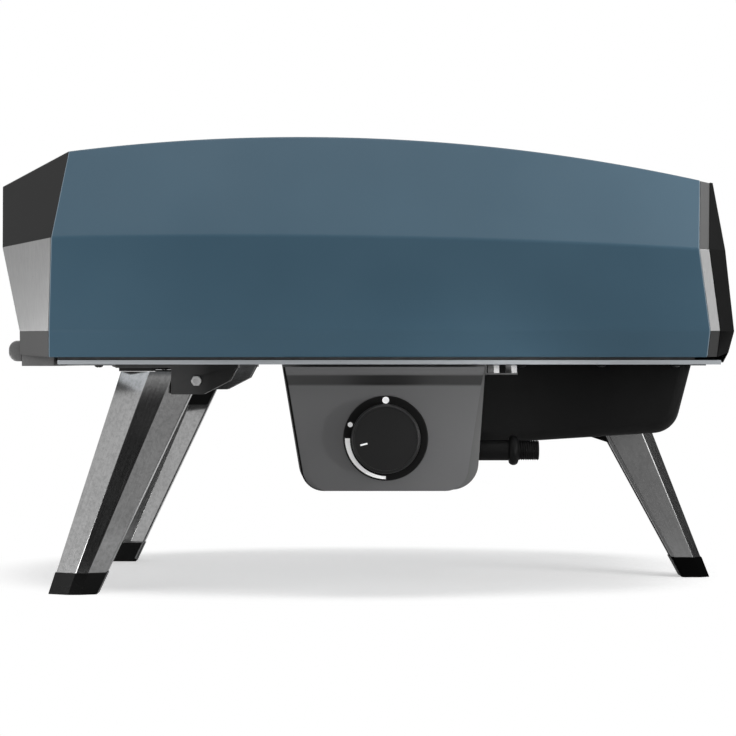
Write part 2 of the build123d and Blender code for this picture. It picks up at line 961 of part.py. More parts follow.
def cap_corners():
    """Front and rear corner points of the rear cap's right side, from roof to sill."""
    line = rear_line(trim_width + joint_gap)
    rim = body_corners(line)
    rim[0] = (rim[0][0], rim[0][1], roof_z(rim[0][1]))
    roof, crease, fold, sill = rim
    top_y = roof[1] + cap_reach_top
    fold_y = fold[1] + cap_reach_fold
    back_fold = (fold[0] - cap_taper, fold_y, fold[2])
    lean = (fold_y - top_y) / (roof[2] - fold[2])
    crease_y = fold_y - lean * (crease[2] - fold[2])
    back_crease = (across(crease, fold, back_fold, crease_y, crease[2]), crease_y, crease[2])
    back_roof = (across(roof, crease, back_crease, top_y, roof[2]), top_y, roof[2])
    low_y = fold_y - cap_bottom_back
    low_z = fold[2] - cap_bottom_drop
    back_sill = (across(fold, sill, back_fold, low_y, low_z), low_y, low_z)
    return rim, [back_roof, back_crease, back_fold, back_sill]


def rear_cap():
    """The black cover that closes the back, with rows of vent slots."""
    rim, back = cap_corners()
    inside = (0, rear_crease_y - overrun, fold_z + fold_rise)
    sheets = [flat_sheet([rim[0], back[0], flipped(back[0]), flipped(rim[0])], cap_wall, inside)]
    for index in range(3):
        facet = flat_sheet([rim[index], back[index], back[index + 1], rim[index + 1]], cap_wall, inside)
        sheets += [facet, other_side(facet)]
    face = back[:3] + [flipped(point) for point in reversed(back[:3])]
    sheets.append(flat_sheet(face, cap_wall, inside))
    sheets.append(flat_sheet([back[2], back[3], flipped(back[3]), flipped(back[2])], cap_wall, inside))
    heel_y = back[3][1] - cap_heel_back
    heel_z = back[3][2] - cap_heel_drop
    heel = [back[3], (back[3][0], heel_y, heel_z), (-back[3][0], heel_y, heel_z), flipped(back[3])]
    sheets.append(flat_sheet(heel, cap_wall, inside))
    cover = joined(sheets) & cap_space()
    return cover - joined(cap_vents(back)) - joined(cap_screw_holes(back))


def cap_vents(back):
    """Cutters for the vent slots in the rear cap."""
    cutters = []
    for row in range(vent_rows):
        z = sill_z + vent_rise + row * vent_row_pitch
        for index in range(vent_count):
            x = (index - (vent_count - 1) / 2) * vent_pitch
            left = x - vent_length / 2
            right = x + vent_length / 2
            low_y = back[0][1] - 2 * cap_wall
            cutters.append(block(left, right, low_y, rear_y + overrun, z, z + vent_height))
    return cutters


def cap_screw_places(back):
    """Where screws hold the rear cap: x, z and the y of its outer face there."""
    lean = (back[2][1] - back[0][1]) / (back[0][2] - back[2][2])
    places = []
    for height_share in cap_screw_height_shares:
        z = back[2][2] + (back[0][2] - back[2][2]) * height_share
        for width_share in cap_screw_width_shares:
            places.append((back[0][0] * width_share, z, back[0][1] + lean * (back[0][2] - z)))
    return places


def cap_screw_holes(back):
    """Cutters for the rear cap's screws."""
    return [rod_y(x, z, screw_radius + fit_gap, y - overrun, y + overrun) for x, z, y in cap_screw_places(back)]


def cap_screws():
    """The rear cap's screws, each a button head on a short shank."""
    back = cap_corners()[1]
    screws = []
    for x, z, y in cap_screw_places(back):
        face = y + cap_wall / 2
        head = rod_y(x, z, cap_screw_radius, face, face + cap_screw_head)
        screws.append(head + rod_y(x, z, screw_radius, face - screw_length, face))
    return apart(screws)


# Burner tub


def tub_outline(inset):
    """The tub's (y, z) outline, front wall first, moved in by the inset but open at the top."""
    top_z = tub_top_z + overrun * (inset > 0)
    front = (tub_bottom_front_y, stand_height - tub_front_drop)
    rear = (tub_bottom_rear_y, stand_height - tub_rear_drop)
    corners = [(tub_top_front_y, tub_top_z), (tub_top_rear_y, tub_top_z), rear, front]
    moved = moved_in(corners, [0, inset, inset, inset])
    lean_front = (moved[3][0] - moved[0][0]) / (moved[0][1] - moved[3][1])
    lean_rear = (moved[1][0] - moved[2][0]) / (moved[1][1] - moved[2][1])
    rise = top_z - tub_top_z
    moved[0] = (moved[0][0] - lean_front * rise, top_z)
    moved[1] = (moved[1][0] + lean_rear * rise, top_z)
    return moved


def tub_volume(inset):
    """The tub's outer or inner volume, with rounded lower corners and side edges."""
    half = tub_half - inset
    corner = tub_corner - inset
    solid = along_x(tub_outline(inset), -half, half, [0, 0, corner, corner])
    top = solid.faces().sort_by(Axis.Z)[-1]
    ends = solid.faces().filter_by(GeomType.PLANE).sort_by(Axis.X)
    edges = [edge for end in (ends[0], ends[-1]) for edge in end.edges() if edge not in top.edges()]
    return solid.fillet(tub_edge - inset, edges)


def burner_tub():
    """The black tub under the base pan, recessed below for the rear leg's hinge."""
    recess = block(-recess_half, recess_half, recess_front_y, tub_top_rear_y + overrun, 0, recess_z)
    wall = tub_wall
    roof = block(
        -recess_half - wall,
        recess_half + wall,
        recess_front_y - wall,
        tub_top_rear_y + overrun,
        0,
        recess_z + wall,
    )
    shell = (tub_volume(0) - recess) - (tub_volume(wall) - roof)
    half = tub_half + tub_flange
    front = tub_top_front_y - tub_flange
    rear = tub_top_rear_y + tub_flange
    flange = block(-half, half, front, rear, tub_top_z, stand_height)
    inner = block(
        -tub_half + wall,
        tub_half - wall,
        tub_top_front_y + wall,
        tub_top_rear_y - wall,
        tub_top_z - overrun,
        stand_height + overrun,
    )
    feed = rod_x(feed_y, mixer_z, feed_radius + feed_hole_gap, 0, body_half)
    return (shell + (flange - inner)) - feed - joined(screw_holes(tub_screw_places()))


# Burner and gas feed


def burner_tube():
    """The burner: a capped tube across the back of the cavity, with a row of ports."""
    half = burner_half
    tube = rod_x(burner_y, burner_z, burner_radius, -half, half)
    bore_radius = burner_radius - burner_wall
    tube = tube - rod_x(burner_y, burner_z, bore_radius, -half + burner_wall, half - burner_wall)
    ports = []
    for index in range(port_count):
        x = (index - (port_count - 1) / 2) * port_pitch
        plane = Plane((x, burner_y, burner_z), (1, 0, 0), (0, -1, 1))
        ports.append(Solid.make_cylinder(port_radius, 2 * burner_radius, plane))
    inlet = rod_z(0, burner_y, mixer_radius + fit_gap, burner_z - 2 * burner_radius, burner_z)
    return tube - joined(ports) - inlet


def mixer_path():
    """The gas mixer's centre line: back along the tub, then up into the burner."""
    return FilletPolyline(
        (0, mixer_front_y + bell_length - mixer_wall, mixer_z),
        (0, burner_y, mixer_z),
        (0, burner_y, burner_z - burner_radius / 2),
        radius=mixer_bend,
    )


def mixer_tube():
    """The mixer: a bell with air windows, and a bent pipe up to the burner."""
    path = mixer_path()
    start = Plane((0, mixer_front_y + bell_length - mixer_wall, mixer_z), (1, 0, 0), (0, 1, 0))
    pipe = Solid.sweep(Face(Wire.make_circle(mixer_radius, start)), path.wire())
    bore = Solid.sweep(Face(Wire.make_circle(mixer_radius - mixer_wall, start)), path.wire())
    bell_end = mixer_front_y + bell_length
    bell = rod_y(0, mixer_z, bell_radius, mixer_front_y, bell_end)
    room = rod_y(0, mixer_z, bell_radius - mixer_wall, mixer_front_y + mixer_wall, bell_end - mixer_wall)
    seat = rod_y(0, mixer_z, jet_radius + fit_gap, mixer_front_y - overrun, mixer_front_y + mixer_wall)
    window_y = mixer_front_y + shutter_length / 2 + mixer_wall
    half = bell_window / 2
    window = block(-half, half, window_y, window_y + bell_window, mixer_z, mixer_z + 2 * bell_radius)
    outlet = rod_y(0, mixer_z, mixer_radius - mixer_wall, bell_end - mixer_wall, bell_end)
    return joined([bell - room, pipe]) - bore - seat - window - outlet


def air_shutter():
    """The ring that trims the mixer's air, on the bell."""
    start = mixer_front_y + mixer_wall
    ring = rod_y(0, mixer_z, bell_radius + shutter_wall + fit_gap, start, start + shutter_length)
    return ring - rod_y(0, mixer_z, bell_radius + fit_gap, start - overrun, start + overrun)


def gas_jet():
    """The brass jet at the end of the feed pipe."""
    head_end = mixer_front_y
    head_start = head_end - jet_head
    turns = [2 * math.pi * index / hex_sides for index in range(hex_sides)]
    outline = [(jet_flat * math.cos(t), mixer_z + jet_flat * math.sin(t)) for t in turns]
    head = along_y(outline, head_start, head_end)
    nozzle = rod_y(0, mixer_z, jet_radius, head_end, head_end + jet_length)
    bore = rod_y(0, mixer_z, jet_bore, head_start - overrun, head_end + overrun)
    return head + nozzle - bore


def feed_pipe():
    """The pipe from the valve, behind the control box and across to the jet."""
    start_y = knob_y + valve_boss_reach
    x = housing_back_x + housing_depth / 2 - valve_outlet_sink
    z = knob_z + valve_outlet_rise
    path = FilletPolyline(
        (x, start_y, z),
        (x, feed_y, z),
        (x, feed_y, mixer_z),
        (0, feed_y, mixer_z),
        (0, mixer_front_y - jet_head, mixer_z),
        radius=feed_bend,
    )
    start = Plane((x, start_y, z), (1, 0, 0), (0, 1, 0))
    pipe = Solid.sweep(Face(Wire.make_circle(feed_radius, start)), path.wire())
    return pipe - Solid.sweep(Face(Wire.make_circle(feed_radius / 2, start)), path.wire())


def burner_saddles():
    """Two saddles that carry the burner on the floor pan."""
    saddles = []
    for x in (-saddle_spread, saddle_spread):
        half = saddle_width / 2
        front = burner_y - burner_radius - saddle_wall
        rear = burner_y + burner_radius + saddle_wall
        saddle = block(x - half, x + half, front, rear, floor_z, burner_z)
        saddles.append(saddle - rod_x(burner_y, burner_z, burner_radius + fit_gap, x - overrun, x + overrun))
    return apart(saddles)


def flame_guard():
    """The slotted screen between stone and burner, with a foot on the floor pan."""
    y = guard_y
    screen = block(-guard_half, guard_half, y, y + guard_wall, floor_z, floor_z + guard_height)
    foot = block(-guard_half, guard_half, y, y + guard_foot, floor_z, floor_z + guard_wall)
    slots = []
    for index in range(guard_slot_count):
        x = (index - (guard_slot_count - 1) / 2) * guard_slot_pitch
        left = x - guard_slot_length / 2
        low = floor_z + guard_height / 2
        slots.append(block(left, left + guard_slot_length, y - overrun, y + overrun, low, low + guard_slot_height))
    return screen + foot - joined(slots)


def spark_electrode():
    """The ceramic igniter through the liner's back wall, with its wire tip."""
    z = floor_z + sensor_rise
    front = liner_rear_y - spark_length
    rear = liner_rear_y + layer_gap + rear_blanket_wall
    return rod_y(sensor_spread, z, spark_radius, front, rear) + rod_y(
        sensor_spread, z, spark_tip, front - spark_reach, front
    )


def thermocouple():
    """The flame sensor through the liner's back wall."""
    z = floor_z + sensor_rise
    rear = liner_rear_y + layer_gap + rear_blanket_wall
    return rod_y(-sensor_spread, z, thermo_radius, liner_rear_y - thermo_length, rear)


# Control box


def panel_outline(grow_front, grow_top_rear, grow_bottom_rear, bottom_rise, top_z):
    """The control box's (y, z) outline, clockwise from the lower front corner."""
    return [
        (box_bottom_front_y - grow_front, box_bottom_z + bottom_rise),
        (box_top_front_y - grow_front, top_z),
        (box_top_rear_y + grow_top_rear, top_z),
        (box_bottom_rear_y + grow_bottom_rear, box_bottom_z + bottom_rise),
    ]


def control_panel():
    """The face of the control box, its top bent outwards under the body."""
    top_z = stand_height - box_top_gap
    band_z = top_z - box_band
    slope_z = band_z - box_slope
    out_x = box_face_x + box_joggle
    profile = [
        (box_face_x, box_bottom_z - overrun),
        (box_face_x, slope_z),
        (out_x, band_z),
        (out_x, top_z),
        (out_x - box_wall, top_z),
        (out_x - box_wall, band_z + box_wall / 2),
        (box_face_x - box_wall, slope_z + box_wall / 2),
        (box_face_x - box_wall, box_bottom_z - overrun),
    ]
    outline = panel_outline(0, 0, 0, 0, top_z)
    bent = along_y(profile, box_top_front_y - overrun, box_top_rear_y + overrun)
    face = along_x(outline, box_face_x - overrun, box_face_x + overrun, [box_corner, 0, 0, box_corner])
    return (bent & face) - rod_x(knob_y, knob_z, bezel_bore, box_face_x - overrun, box_face_x + overrun)


def housing_outline(top_z):
    """The (y, z) outline of the housing behind the panel."""
    return panel_outline(
        housing_grow_front, housing_grow_top_rear, housing_grow_bottom_rear, housing_bottom_rise, top_z
    )


def control_housing():
    """The dark box behind the panel, closed at its back and top, with a lip turned in at its front."""
    wall = housing_wall
    front_x = box_face_x - box_wall
    outline = housing_outline(stand_height)
    radii = [housing_corner, 0, 0, housing_corner]
    outer = along_x(outline, housing_back_x, front_x, radii)
    inner_outline = moved_in(outline, [wall] * 4)
    inner_radii = [housing_corner - wall, 0, 0, housing_corner - wall]
    inner = along_x(inner_outline, housing_back_x + wall, front_x - wall, inner_radii)
    mouth_radii = [housing_corner - housing_lip, 0, 0, housing_corner - housing_lip]
    mouth = along_x(moved_in(outline, [housing_lip] * 4), front_x - wall - overrun, front_x + overrun, mouth_radii)
    feed = rod_x(feed_y, mixer_z, feed_radius + feed_hole_gap, housing_back_x - overrun, housing_back_x + wall)
    inlet = rod_y(inlet_x, inlet_z, inlet_radius + inlet_hole_gap, feed_y, feed_y + overrun)
    return outer - inner - mouth - feed - inlet - joined(screw_holes(box_screw_places()))


def knob_bezel():
    """The round black plate behind the knob."""
    disc = rod_x(knob_y, knob_z, bezel_radius, box_face_x, box_face_x + bezel_height)
    return disc - rod_x(knob_y, knob_z, bezel_bore, box_face_x - overrun, box_face_x + overrun)


def dial_marks():
    """White marks printed on the bezel: a dot at off, a small dot, and a tapering sweep."""
    face = box_face_x + bezel_height
    top = face + print_height
    dot = rod_x(knob_y, knob_z + mark_radius, dot_radius, face, top)
    turn = math.radians(small_dot_angle)
    small_y = knob_y + mark_radius * math.cos(turn)
    small_z = knob_z + mark_radius * math.sin(turn)
    small = rod_x(small_y, small_z, small_dot_radius, face, top)
    shift_y = sweep_lift + sweep_start_width - sweep_outer_radius
    shift_z = sweep_lift + sweep_end_width - sweep_outer_radius
    ring = rod_x(knob_y, knob_z, sweep_outer_radius, face, top)
    ring = ring - rod_x(knob_y + shift_y, knob_z + shift_z, sweep_lift, face - overrun, top + overrun)
    quarter = block(face - overrun, top + overrun, knob_y - body_half, knob_y, knob_z - body_half, knob_z)
    return apart([dot, small, ring & quarter])


def knob_front_x():
    """The x of the knob's front face."""
    return box_face_x + bezel_height + knob_gap + knob_length


def knob():
    """The black knob, hollow behind, with a hub on the valve stem."""
    back = box_face_x + bezel_height + knob_gap
    front = knob_front_x()
    body = rod_x(knob_y, knob_z, knob_radius, back, front)
    body = body.fillet(knob_edge, body.edges().sort_by(Axis.X)[-1:])
    dish = rod_x(knob_y, knob_z, knob_radius - knob_rim, front - knob_dish, front + overrun)
    room = rod_x(knob_y, knob_z, knob_radius - knob_skirt, back - overrun, front - knob_face)
    hub = rod_x(knob_y, knob_z, knob_hub_radius, back, front - knob_face)
    bore = rod_x(knob_y, knob_z, stem_radius + fit_gap, back - overrun, front - stem_seat)
    return body - dish - room + hub - bore


def knob_pointer():
    """The short white dash on the knob's face."""
    face = knob_front_x() - knob_dish
    turn = math.radians(pointer_angle)
    ahead = (math.cos(turn), math.sin(turn))
    side = (-ahead[1] * pointer_width / 2, ahead[0] * pointer_width / 2)
    start = (knob_y + ahead[0] * pointer_radius, knob_z + ahead[1] * pointer_radius)
    end = (start[0] + ahead[0] * pointer_length, start[1] + ahead[1] * pointer_length)
    corners = [
        (start[0] + side[0], start[1] + side[1]),
        (end[0] + side[0], end[1] + side[1]),
        (end[0] - side[0], end[1] - side[1]),
        (start[0] - side[0], start[1] - side[1]),
    ]
    return along_x(corners, face, face + print_height)


def valve_stem():
    """The stem that the knob turns and pushes."""
    end = knob_front_x() - stem_seat - layer_gap
    return rod_x(knob_y, knob_z, stem_radius, end - stem_length, end)


def gas_valve():
    """The valve behind the panel, with bosses for the inlet and the feed pipe."""
    face = box_face_x - box_wall
    back = face - valve_length
    flange_x = face - valve_flange_wall
    body = rod_x(knob_y, knob_z, valve_radius, back, flange_x)
    half = valve_flange_half
    flange = block(flange_x, face, knob_y - half, knob_y + half, knob_z - half, knob_z + half)
    end_y = knob_y + valve_boss_reach
    inlet = rod_y(inlet_x, inlet_z, valve_boss_radius, knob_y, end_y)
    outlet_x = housing_back_x + housing_depth / 2 - valve_outlet_sink
    outlet_z = knob_z + valve_outlet_rise
    outlet = rod_y(outlet_x, outlet_z, valve_outlet_radius, knob_y, end_y)
    bore = rod_x(knob_y, knob_z, stem_radius + fit_gap, face - valve_bore_depth, face + overrun)
    gas_in = rod_y(inlet_x, inlet_z, inlet_bore, knob_y + stem_radius, end_y + overrun)
    gas_out = rod_y(outlet_x, outlet_z, feed_radius / 2, knob_y + stem_radius, end_y + overrun)
    return joined([body, flange, inlet, outlet]) - bore - gas_in - gas_out


def gas_inlet():
    """The black inlet pipe out of the housing's rear side, threaded at its end."""
    start = knob_y + valve_boss_reach
    core = rod_y(inlet_x, inlet_z, inlet_core_radius, start, inlet_body_start_y)
    collar_end = collar_start_y + collar_length
    body = rod_y(inlet_x, inlet_z, inlet_radius, inlet_body_start_y, collar_end)
    tail = rod_y(inlet_x, inlet_z, thread_radius, collar_end, inlet_end_y)
    tail = tail.chamfer(thread_groove, thread_groove, tail.edges().sort_by(Axis.Y)[-1:])
    pipe = joined([core, body, tail])
    for index in range(thread_count):
        y = collar_end + thread_pitch / 2 + index * thread_pitch
        ring = rod_y(inlet_x, inlet_z, inlet_radius + overrun, y, y + thread_pitch / 2)
        pipe = pipe - (ring - rod_y(inlet_x, inlet_z, thread_radius - thread_groove, y, y + thread_pitch / 2))
    return pipe - rod_y(inlet_x, inlet_z, inlet_bore, start - overrun, inlet_end_y + overrun)


def inlet_collar():
    """The round collar on the inlet pipe."""
    end = collar_start_y + collar_length
    collar = rod_y(inlet_x, inlet_z, collar_radius, collar_start_y, end)
    return collar - rod_y(inlet_x, inlet_z, inlet_radius + fit_gap, collar_start_y - overrun, end + overrun)


# Strap beside the control box


def side_strap():
    """The bright strap behind the control box, under the base pan."""
    start = housing_outline(stand_height)[2][0]
    low_z = stand_height - strap_drop - strap_wall
    half = strap_width / 2
    plate = block(strap_x - half, strap_x + half, start, start + strap_length, low_z, low_z + strap_wall)
    tab = block(strap_x - half, strap_x + half, start, start + strap_wall, low_z, stand_height)
    return plate + tab


def strap_spacers():
    """Two hexagonal spacers between the strap and the base pan."""
    start = housing_outline(stand_height)[2][0] + spacer_offset
    low_z = stand_height - strap_drop
    return apart(
        [hexagon_z(strap_x, start + index * spacer_pitch, spacer_radius, low_z, stand_height) for index in range(2)]
    )


# Front legs


def leg_corners(z):
    """The right front leg's (x, y) corners at a height, from its inner front corner."""
    share = z / leg_top_z
    front = leg_front_floor_y + (leg_front_top_y - leg_front_floor_y) * share
    bevel = leg_bevel_floor + (leg_bevel_top - leg_bevel_floor) * share
    side = leg_side_floor + (leg_side_top - leg_side_floor) * share
    back = leg_back_floor + (leg_back_top - leg_back_floor) * share
    inner_x = leg_outer_x - leg_depth
    return [
        (inner_x, front),
        (inner_x, front + bevel + side + back),
        (leg_outer_x - back * math.tan(math.radians(leg_back_angle)), front + bevel + side + back),
        (leg_outer_x, front + bevel + side),
        (leg_outer_x, front + bevel),
        (leg_outer_x - bevel * math.tan(math.radians(leg_bevel_angle)), front),
    ]


def leg_section(z, grow, open_side):
    """The right front leg's (x, y) outline at a height, grown outwards, its inner side moved out."""
    return moved_in(leg_corners(z), [-open_side] + [-grow] * 5)


def plug_section(z):
    """The (x, y) outline of the foot's plug at a height, behind the leg's front bevel."""
    inner, inner_back, back, side_back, side_front, front = leg_corners(z)
    corners = [(inner[0], side_front[1]), inner_back, back, side_back, side_front]
    return moved_in(corners, [0] + [leg_wall] * 4)


def upright(outline_at, z_from, z_to):
    """A straight-sided volume between two heights, from a function that gives its outline."""
    wires = []
    for z in (z_from, z_to):
        wires.append(Wire.make_polygon([Vector(x, y, z) for x, y in outline_at(z)], close=True))
    return Solid.make_loft(wires, ruled=True)


def leg_form(z_from, z_to, grow, open_side):
    """The volume of the front leg's outline between two heights."""
    return upright(lambda z: leg_section(z, grow, open_side), z_from, z_to)


def front_leg():
    """The right front leg: a three-sided steel channel, open towards the oven's middle."""
    channel = leg_form(leg_end_z, leg_top_z, 0, 0) - leg_form(0, leg_top_z + leg_wall, -leg_wall, leg_depth)
    notch = rod_x(pivot_y, pivot_z, hub_radius + hub_notch_gap, leg_outer_x - leg_depth - overrun, body_half)
    return channel - notch


def front_leg_hub():
    """The black hinge block in the top of the right front leg."""
    core = leg_form(hub_start_z, leg_top_z - hub_clear, -leg_wall - hub_clear, -hub_clear)
    inner_x = leg_outer_x - leg_depth + hub_clear
    barrel = rod_x(pivot_y, pivot_z, hub_radius, inner_x, leg_outer_x - leg_wall)
    bore = rod_x(pivot_y, pivot_z, pivot_radius + fit_gap, inner_x - overrun, leg_outer_x + overrun)
    return core + barrel - bore


def front_foot():
    """The black foot round the right front leg's end, with a plug behind the front bevel."""
    foot = leg_form(0, foot_height, foot_wall, 0)
    return foot - leg_form(leg_end_z, leg_top_z, 0, 0) + upright(plug_section, leg_end_z, foot_height)


def cheek(x_from, x_to):
    """One cheek of the front leg's bracket, between two x values."""
    points = [
        (cheek_front_y, stand_height),
        (cheek_front_y, cheek_bottom_z),
        (cheek_waist_y, cheek_bottom_z),
        (cheek_rise_y, cheek_rise_z),
        (cheek_rear_y, stand_height),
    ]
    plate = along_x(points, x_from, x_to)
    return plate - rod_x(pivot_y, pivot_z, pivot_radius + fit_gap, x_from - overrun, x_to + overrun)


def bracket_inner_x():
    """The x of the bracket's inner cheek, on its side away from the leg."""
    return leg_outer_x - leg_depth - cheek_gap - cheek_wall


def bracket_outer_x():
    """The x of the bracket's outer face."""
    return leg_outer_x + foot_wall + cheek_wall


def front_bracket():
    """The dark bracket over the right front leg: a top plate and the outer cheek."""
    low_z = stand_height - bracket_plate
    inner = bracket_inner_x() + cheek_wall
    outer = bracket_outer_x()
    plate = block(inner, outer, bracket_front_y, cheek_rear_y, low_z, stand_height)
    side = cheek(outer - cheek_wall, outer)
    return plate + side - joined(screw_holes(bracket_screw_places()))


def front_bracket_cheek():
    """The bare steel inner cheek of the right front leg's bracket."""
    inner = bracket_inner_x()
    return cheek(inner, inner + cheek_wall)


def leg_stop():
    """The rubber pad that the right front leg's top bears on."""
    top_z = stand_height - bracket_plate
    inner = leg_outer_x - leg_depth
    pad_outer = leg_outer_x - leg_wall
    return block(inner, pad_outer, stop_front_y, stop_front_y + stop_length, leg_top_z + stop_gap, top_z)


def pivot_bolt():
    """The right front leg's hinge bolt, its head outside."""
    inner = bracket_inner_x() - pivot_nut
    outer = bracket_outer_x()
    shank = rod_x(pivot_y, pivot_z, pivot_radius, inner, outer)
    return shank + hexagon_x(pivot_y, pivot_z, pivot_head_radius, outer, outer + pivot_head)


def pivot_nut_piece():
    """The nut on the right front leg's hinge bolt."""
    inner = bracket_inner_x()
    nut = hexagon_x(pivot_y, pivot_z, pivot_nut_radius, inner - pivot_nut, inner)
    return nut - rod_x(pivot_y, pivot_z, pivot_radius + fit_gap, inner - overrun, inner + overrun)


# Rear leg


def rear_leg_section(z, grow):
    """The rear leg's (x, y) outline at a height, grown outwards."""
    share = z / rear_leg_top_z
    front = rear_leg_front_floor_y + (rear_leg_front_top_y - rear_leg_front_floor_y) * share
    floor_back = rear_y - foot_wall
    back = floor_back + (rear_leg_back_top_y - floor_back) * share
    lip = rear_leg_lip_floor + (rear_leg_lip_top - rear_leg_lip_floor) * share
    bevel = rear_leg_bevel_floor + (rear_leg_bevel_top - rear_leg_bevel_floor) * share
    lip_half = rear_leg_half - lip * rear_leg_lip_share
    bevel_half = rear_leg_half - bevel * rear_leg_bevel_share
    left = [(-lip_half, front), (-rear_leg_half, front + lip), (-rear_leg_half, back - bevel), (-bevel_half, back)]
    right = [(-x, y) for x, y in reversed(left)]
    return moved_in(left + right, [-grow] * 8)


def rear_leg_form(z_from, z_to, grow):
    """The volume of the rear leg's outline between two heights."""
    return upright(lambda z: rear_leg_section(z, grow), z_from, z_to)


def slot_section(z):
    """The (x, y) outline of the slot down the rear leg's front, at a height."""
    front = rear_leg_section(z, 0)[0][1]
    half = rear_leg_slot_half
    left = [(-half, front - overrun), (-half, front + 2 * rear_leg_wall)]
    return left + [(-x, y) for x, y in reversed(left)]


def rear_leg():
    """The rear leg: a folded steel channel with a slot down its front."""
    above = rear_leg_top_z + rear_leg_wall
    shell = rear_leg_form(leg_end_z, rear_leg_top_z, 0) - rear_leg_form(0, above, -rear_leg_wall)
    return shell - upright(slot_section, 0, above)


def rear_leg_hub():
    """The hinge block in the rear leg's top, reaching forward to the pivot."""
    core = rear_leg_form(rear_hub_start_z, rear_leg_top_z - hub_clear, -rear_leg_wall - hub_clear)
    inside_y = rear_leg_section(rear_leg_top_z, 0)[0][1] + rear_leg_wall + hub_clear
    low_y = rear_leg_section(rear_hub_start_z, 0)[0][1] + rear_leg_wall + hub_clear
    low_z = rear_pivot_z - rear_barrel_radius
    web = along_x(
        [
            (rear_pivot_y, low_z),
            (rear_pivot_y, rear_leg_top_z - hub_clear),
            (inside_y + rear_barrel_radius, rear_leg_top_z - hub_clear),
            (low_y + rear_barrel_radius, rear_hub_start_z + rear_barrel_radius / 2),
            (low_y, rear_hub_start_z + rear_barrel_radius / 2),
        ],
        -rear_web_half,
        rear_web_half,
    )
    barrel_half = rear_leg_half - hub_clear
    barrel = rod_x(rear_pivot_y, rear_pivot_z, rear_barrel_radius, -barrel_half, barrel_half)
    bore = rod_x(rear_pivot_y, rear_pivot_z, rear_pivot_radius + fit_gap, -overrun, overrun)
    return joined([core, web, barrel]) - bore


def rear_foot():
    """The black foot round the rear leg's end."""
    foot = rear_leg_form(0, foot_height, foot_wall)
    ring = foot - rear_leg_form(leg_end_z, rear_leg_top_z, 0)
    return ring + rear_leg_form(leg_end_z, foot_height, -rear_leg_wall)


def rear_bracket():
    """The bracket in the tub's recess that holds the rear leg's pin."""
    inner = rear_leg_half + rear_cheek_gap
    outer = inner + rear_cheek_wall
    front = rear_pivot_y - rear_cheek_reach
    rear = rear_pivot_y + rear_cheek_reach
    low_z = rear_pivot_z - rear_cheek_drop
    plate = block(-outer, outer, front, rear, recess_z - rear_cheek_wall, recess_z)
    side = block(inner, outer, front, rear, low_z, recess_z)
    pin = rod_x(rear_pivot_y, rear_pivot_z, rear_pivot_radius + fit_gap, -overrun, overrun)
    return joined([plate, side, other_side(side)]) - pin


def rear_pivot_pin():
    """The rear leg's hinge pin."""
    reach = rear_leg_half + rear_cheek_gap + rear_cheek_wall + rear_pin_reach
    return rod_x(rear_pivot_y, rear_pivot_z, rear_pivot_radius, -reach, reach)


# Screws into the base pan


def tub_screw_places():
    """Where screws hold the tub's flange: x, y and the z of the face under their heads."""
    x = tub_half + tub_flange / 2
    front = tub_top_front_y
    return [(side * x, front + tub_length * share, tub_top_z) for side in (-1, 1) for share in tub_screw_shares]


def box_screw_places():
    """Where screws hold the control housing's top."""
    x = box_face_x - box_screw_inset
    return [(x, knob_y + y, stand_height - housing_wall) for y in box_screw_offsets]


def bracket_screw_places():
    """Where screws hold the two front brackets."""
    x = leg_outer_x - leg_depth / 2
    z = stand_height - bracket_plate
    return [(side * x, pivot_y + y, z) for side in (-1, 1) for y in bracket_screw_offsets]


def landing_screw_places():
    """Where screws hold the landing pan's tab."""
    y = landing_rear_y + landing_tab - landing_screw_edge
    spread = landing_screw_spread
    return [(x, y, stand_height - landing_wall) for x in (-spread, 0, spread)]


def all_screw_places():
    """Every screw that goes up into the base pan."""
    return tub_screw_places() + box_screw_places() + bracket_screw_places() + landing_screw_places()


def screw_holes(places):
    """Cutters for the screws at the places given."""
    radius = screw_radius + fit_gap
    return [rod_z(x, y, radius, z - overrun / 2, stand_height + base_plate) for x, y, z in places]


def screws(places):
    """Pan-head screws from below at the places given."""
    pieces = []
    for x, y, z in places:
        end = min(z + screw_length, base_top_z - layer_gap)
        pieces.append(rod_z(x, y, screw_head_radius, z - screw_head, z) + rod_z(x, y, screw_radius, z, end))
    return apart(pieces)


# Everything, by node name

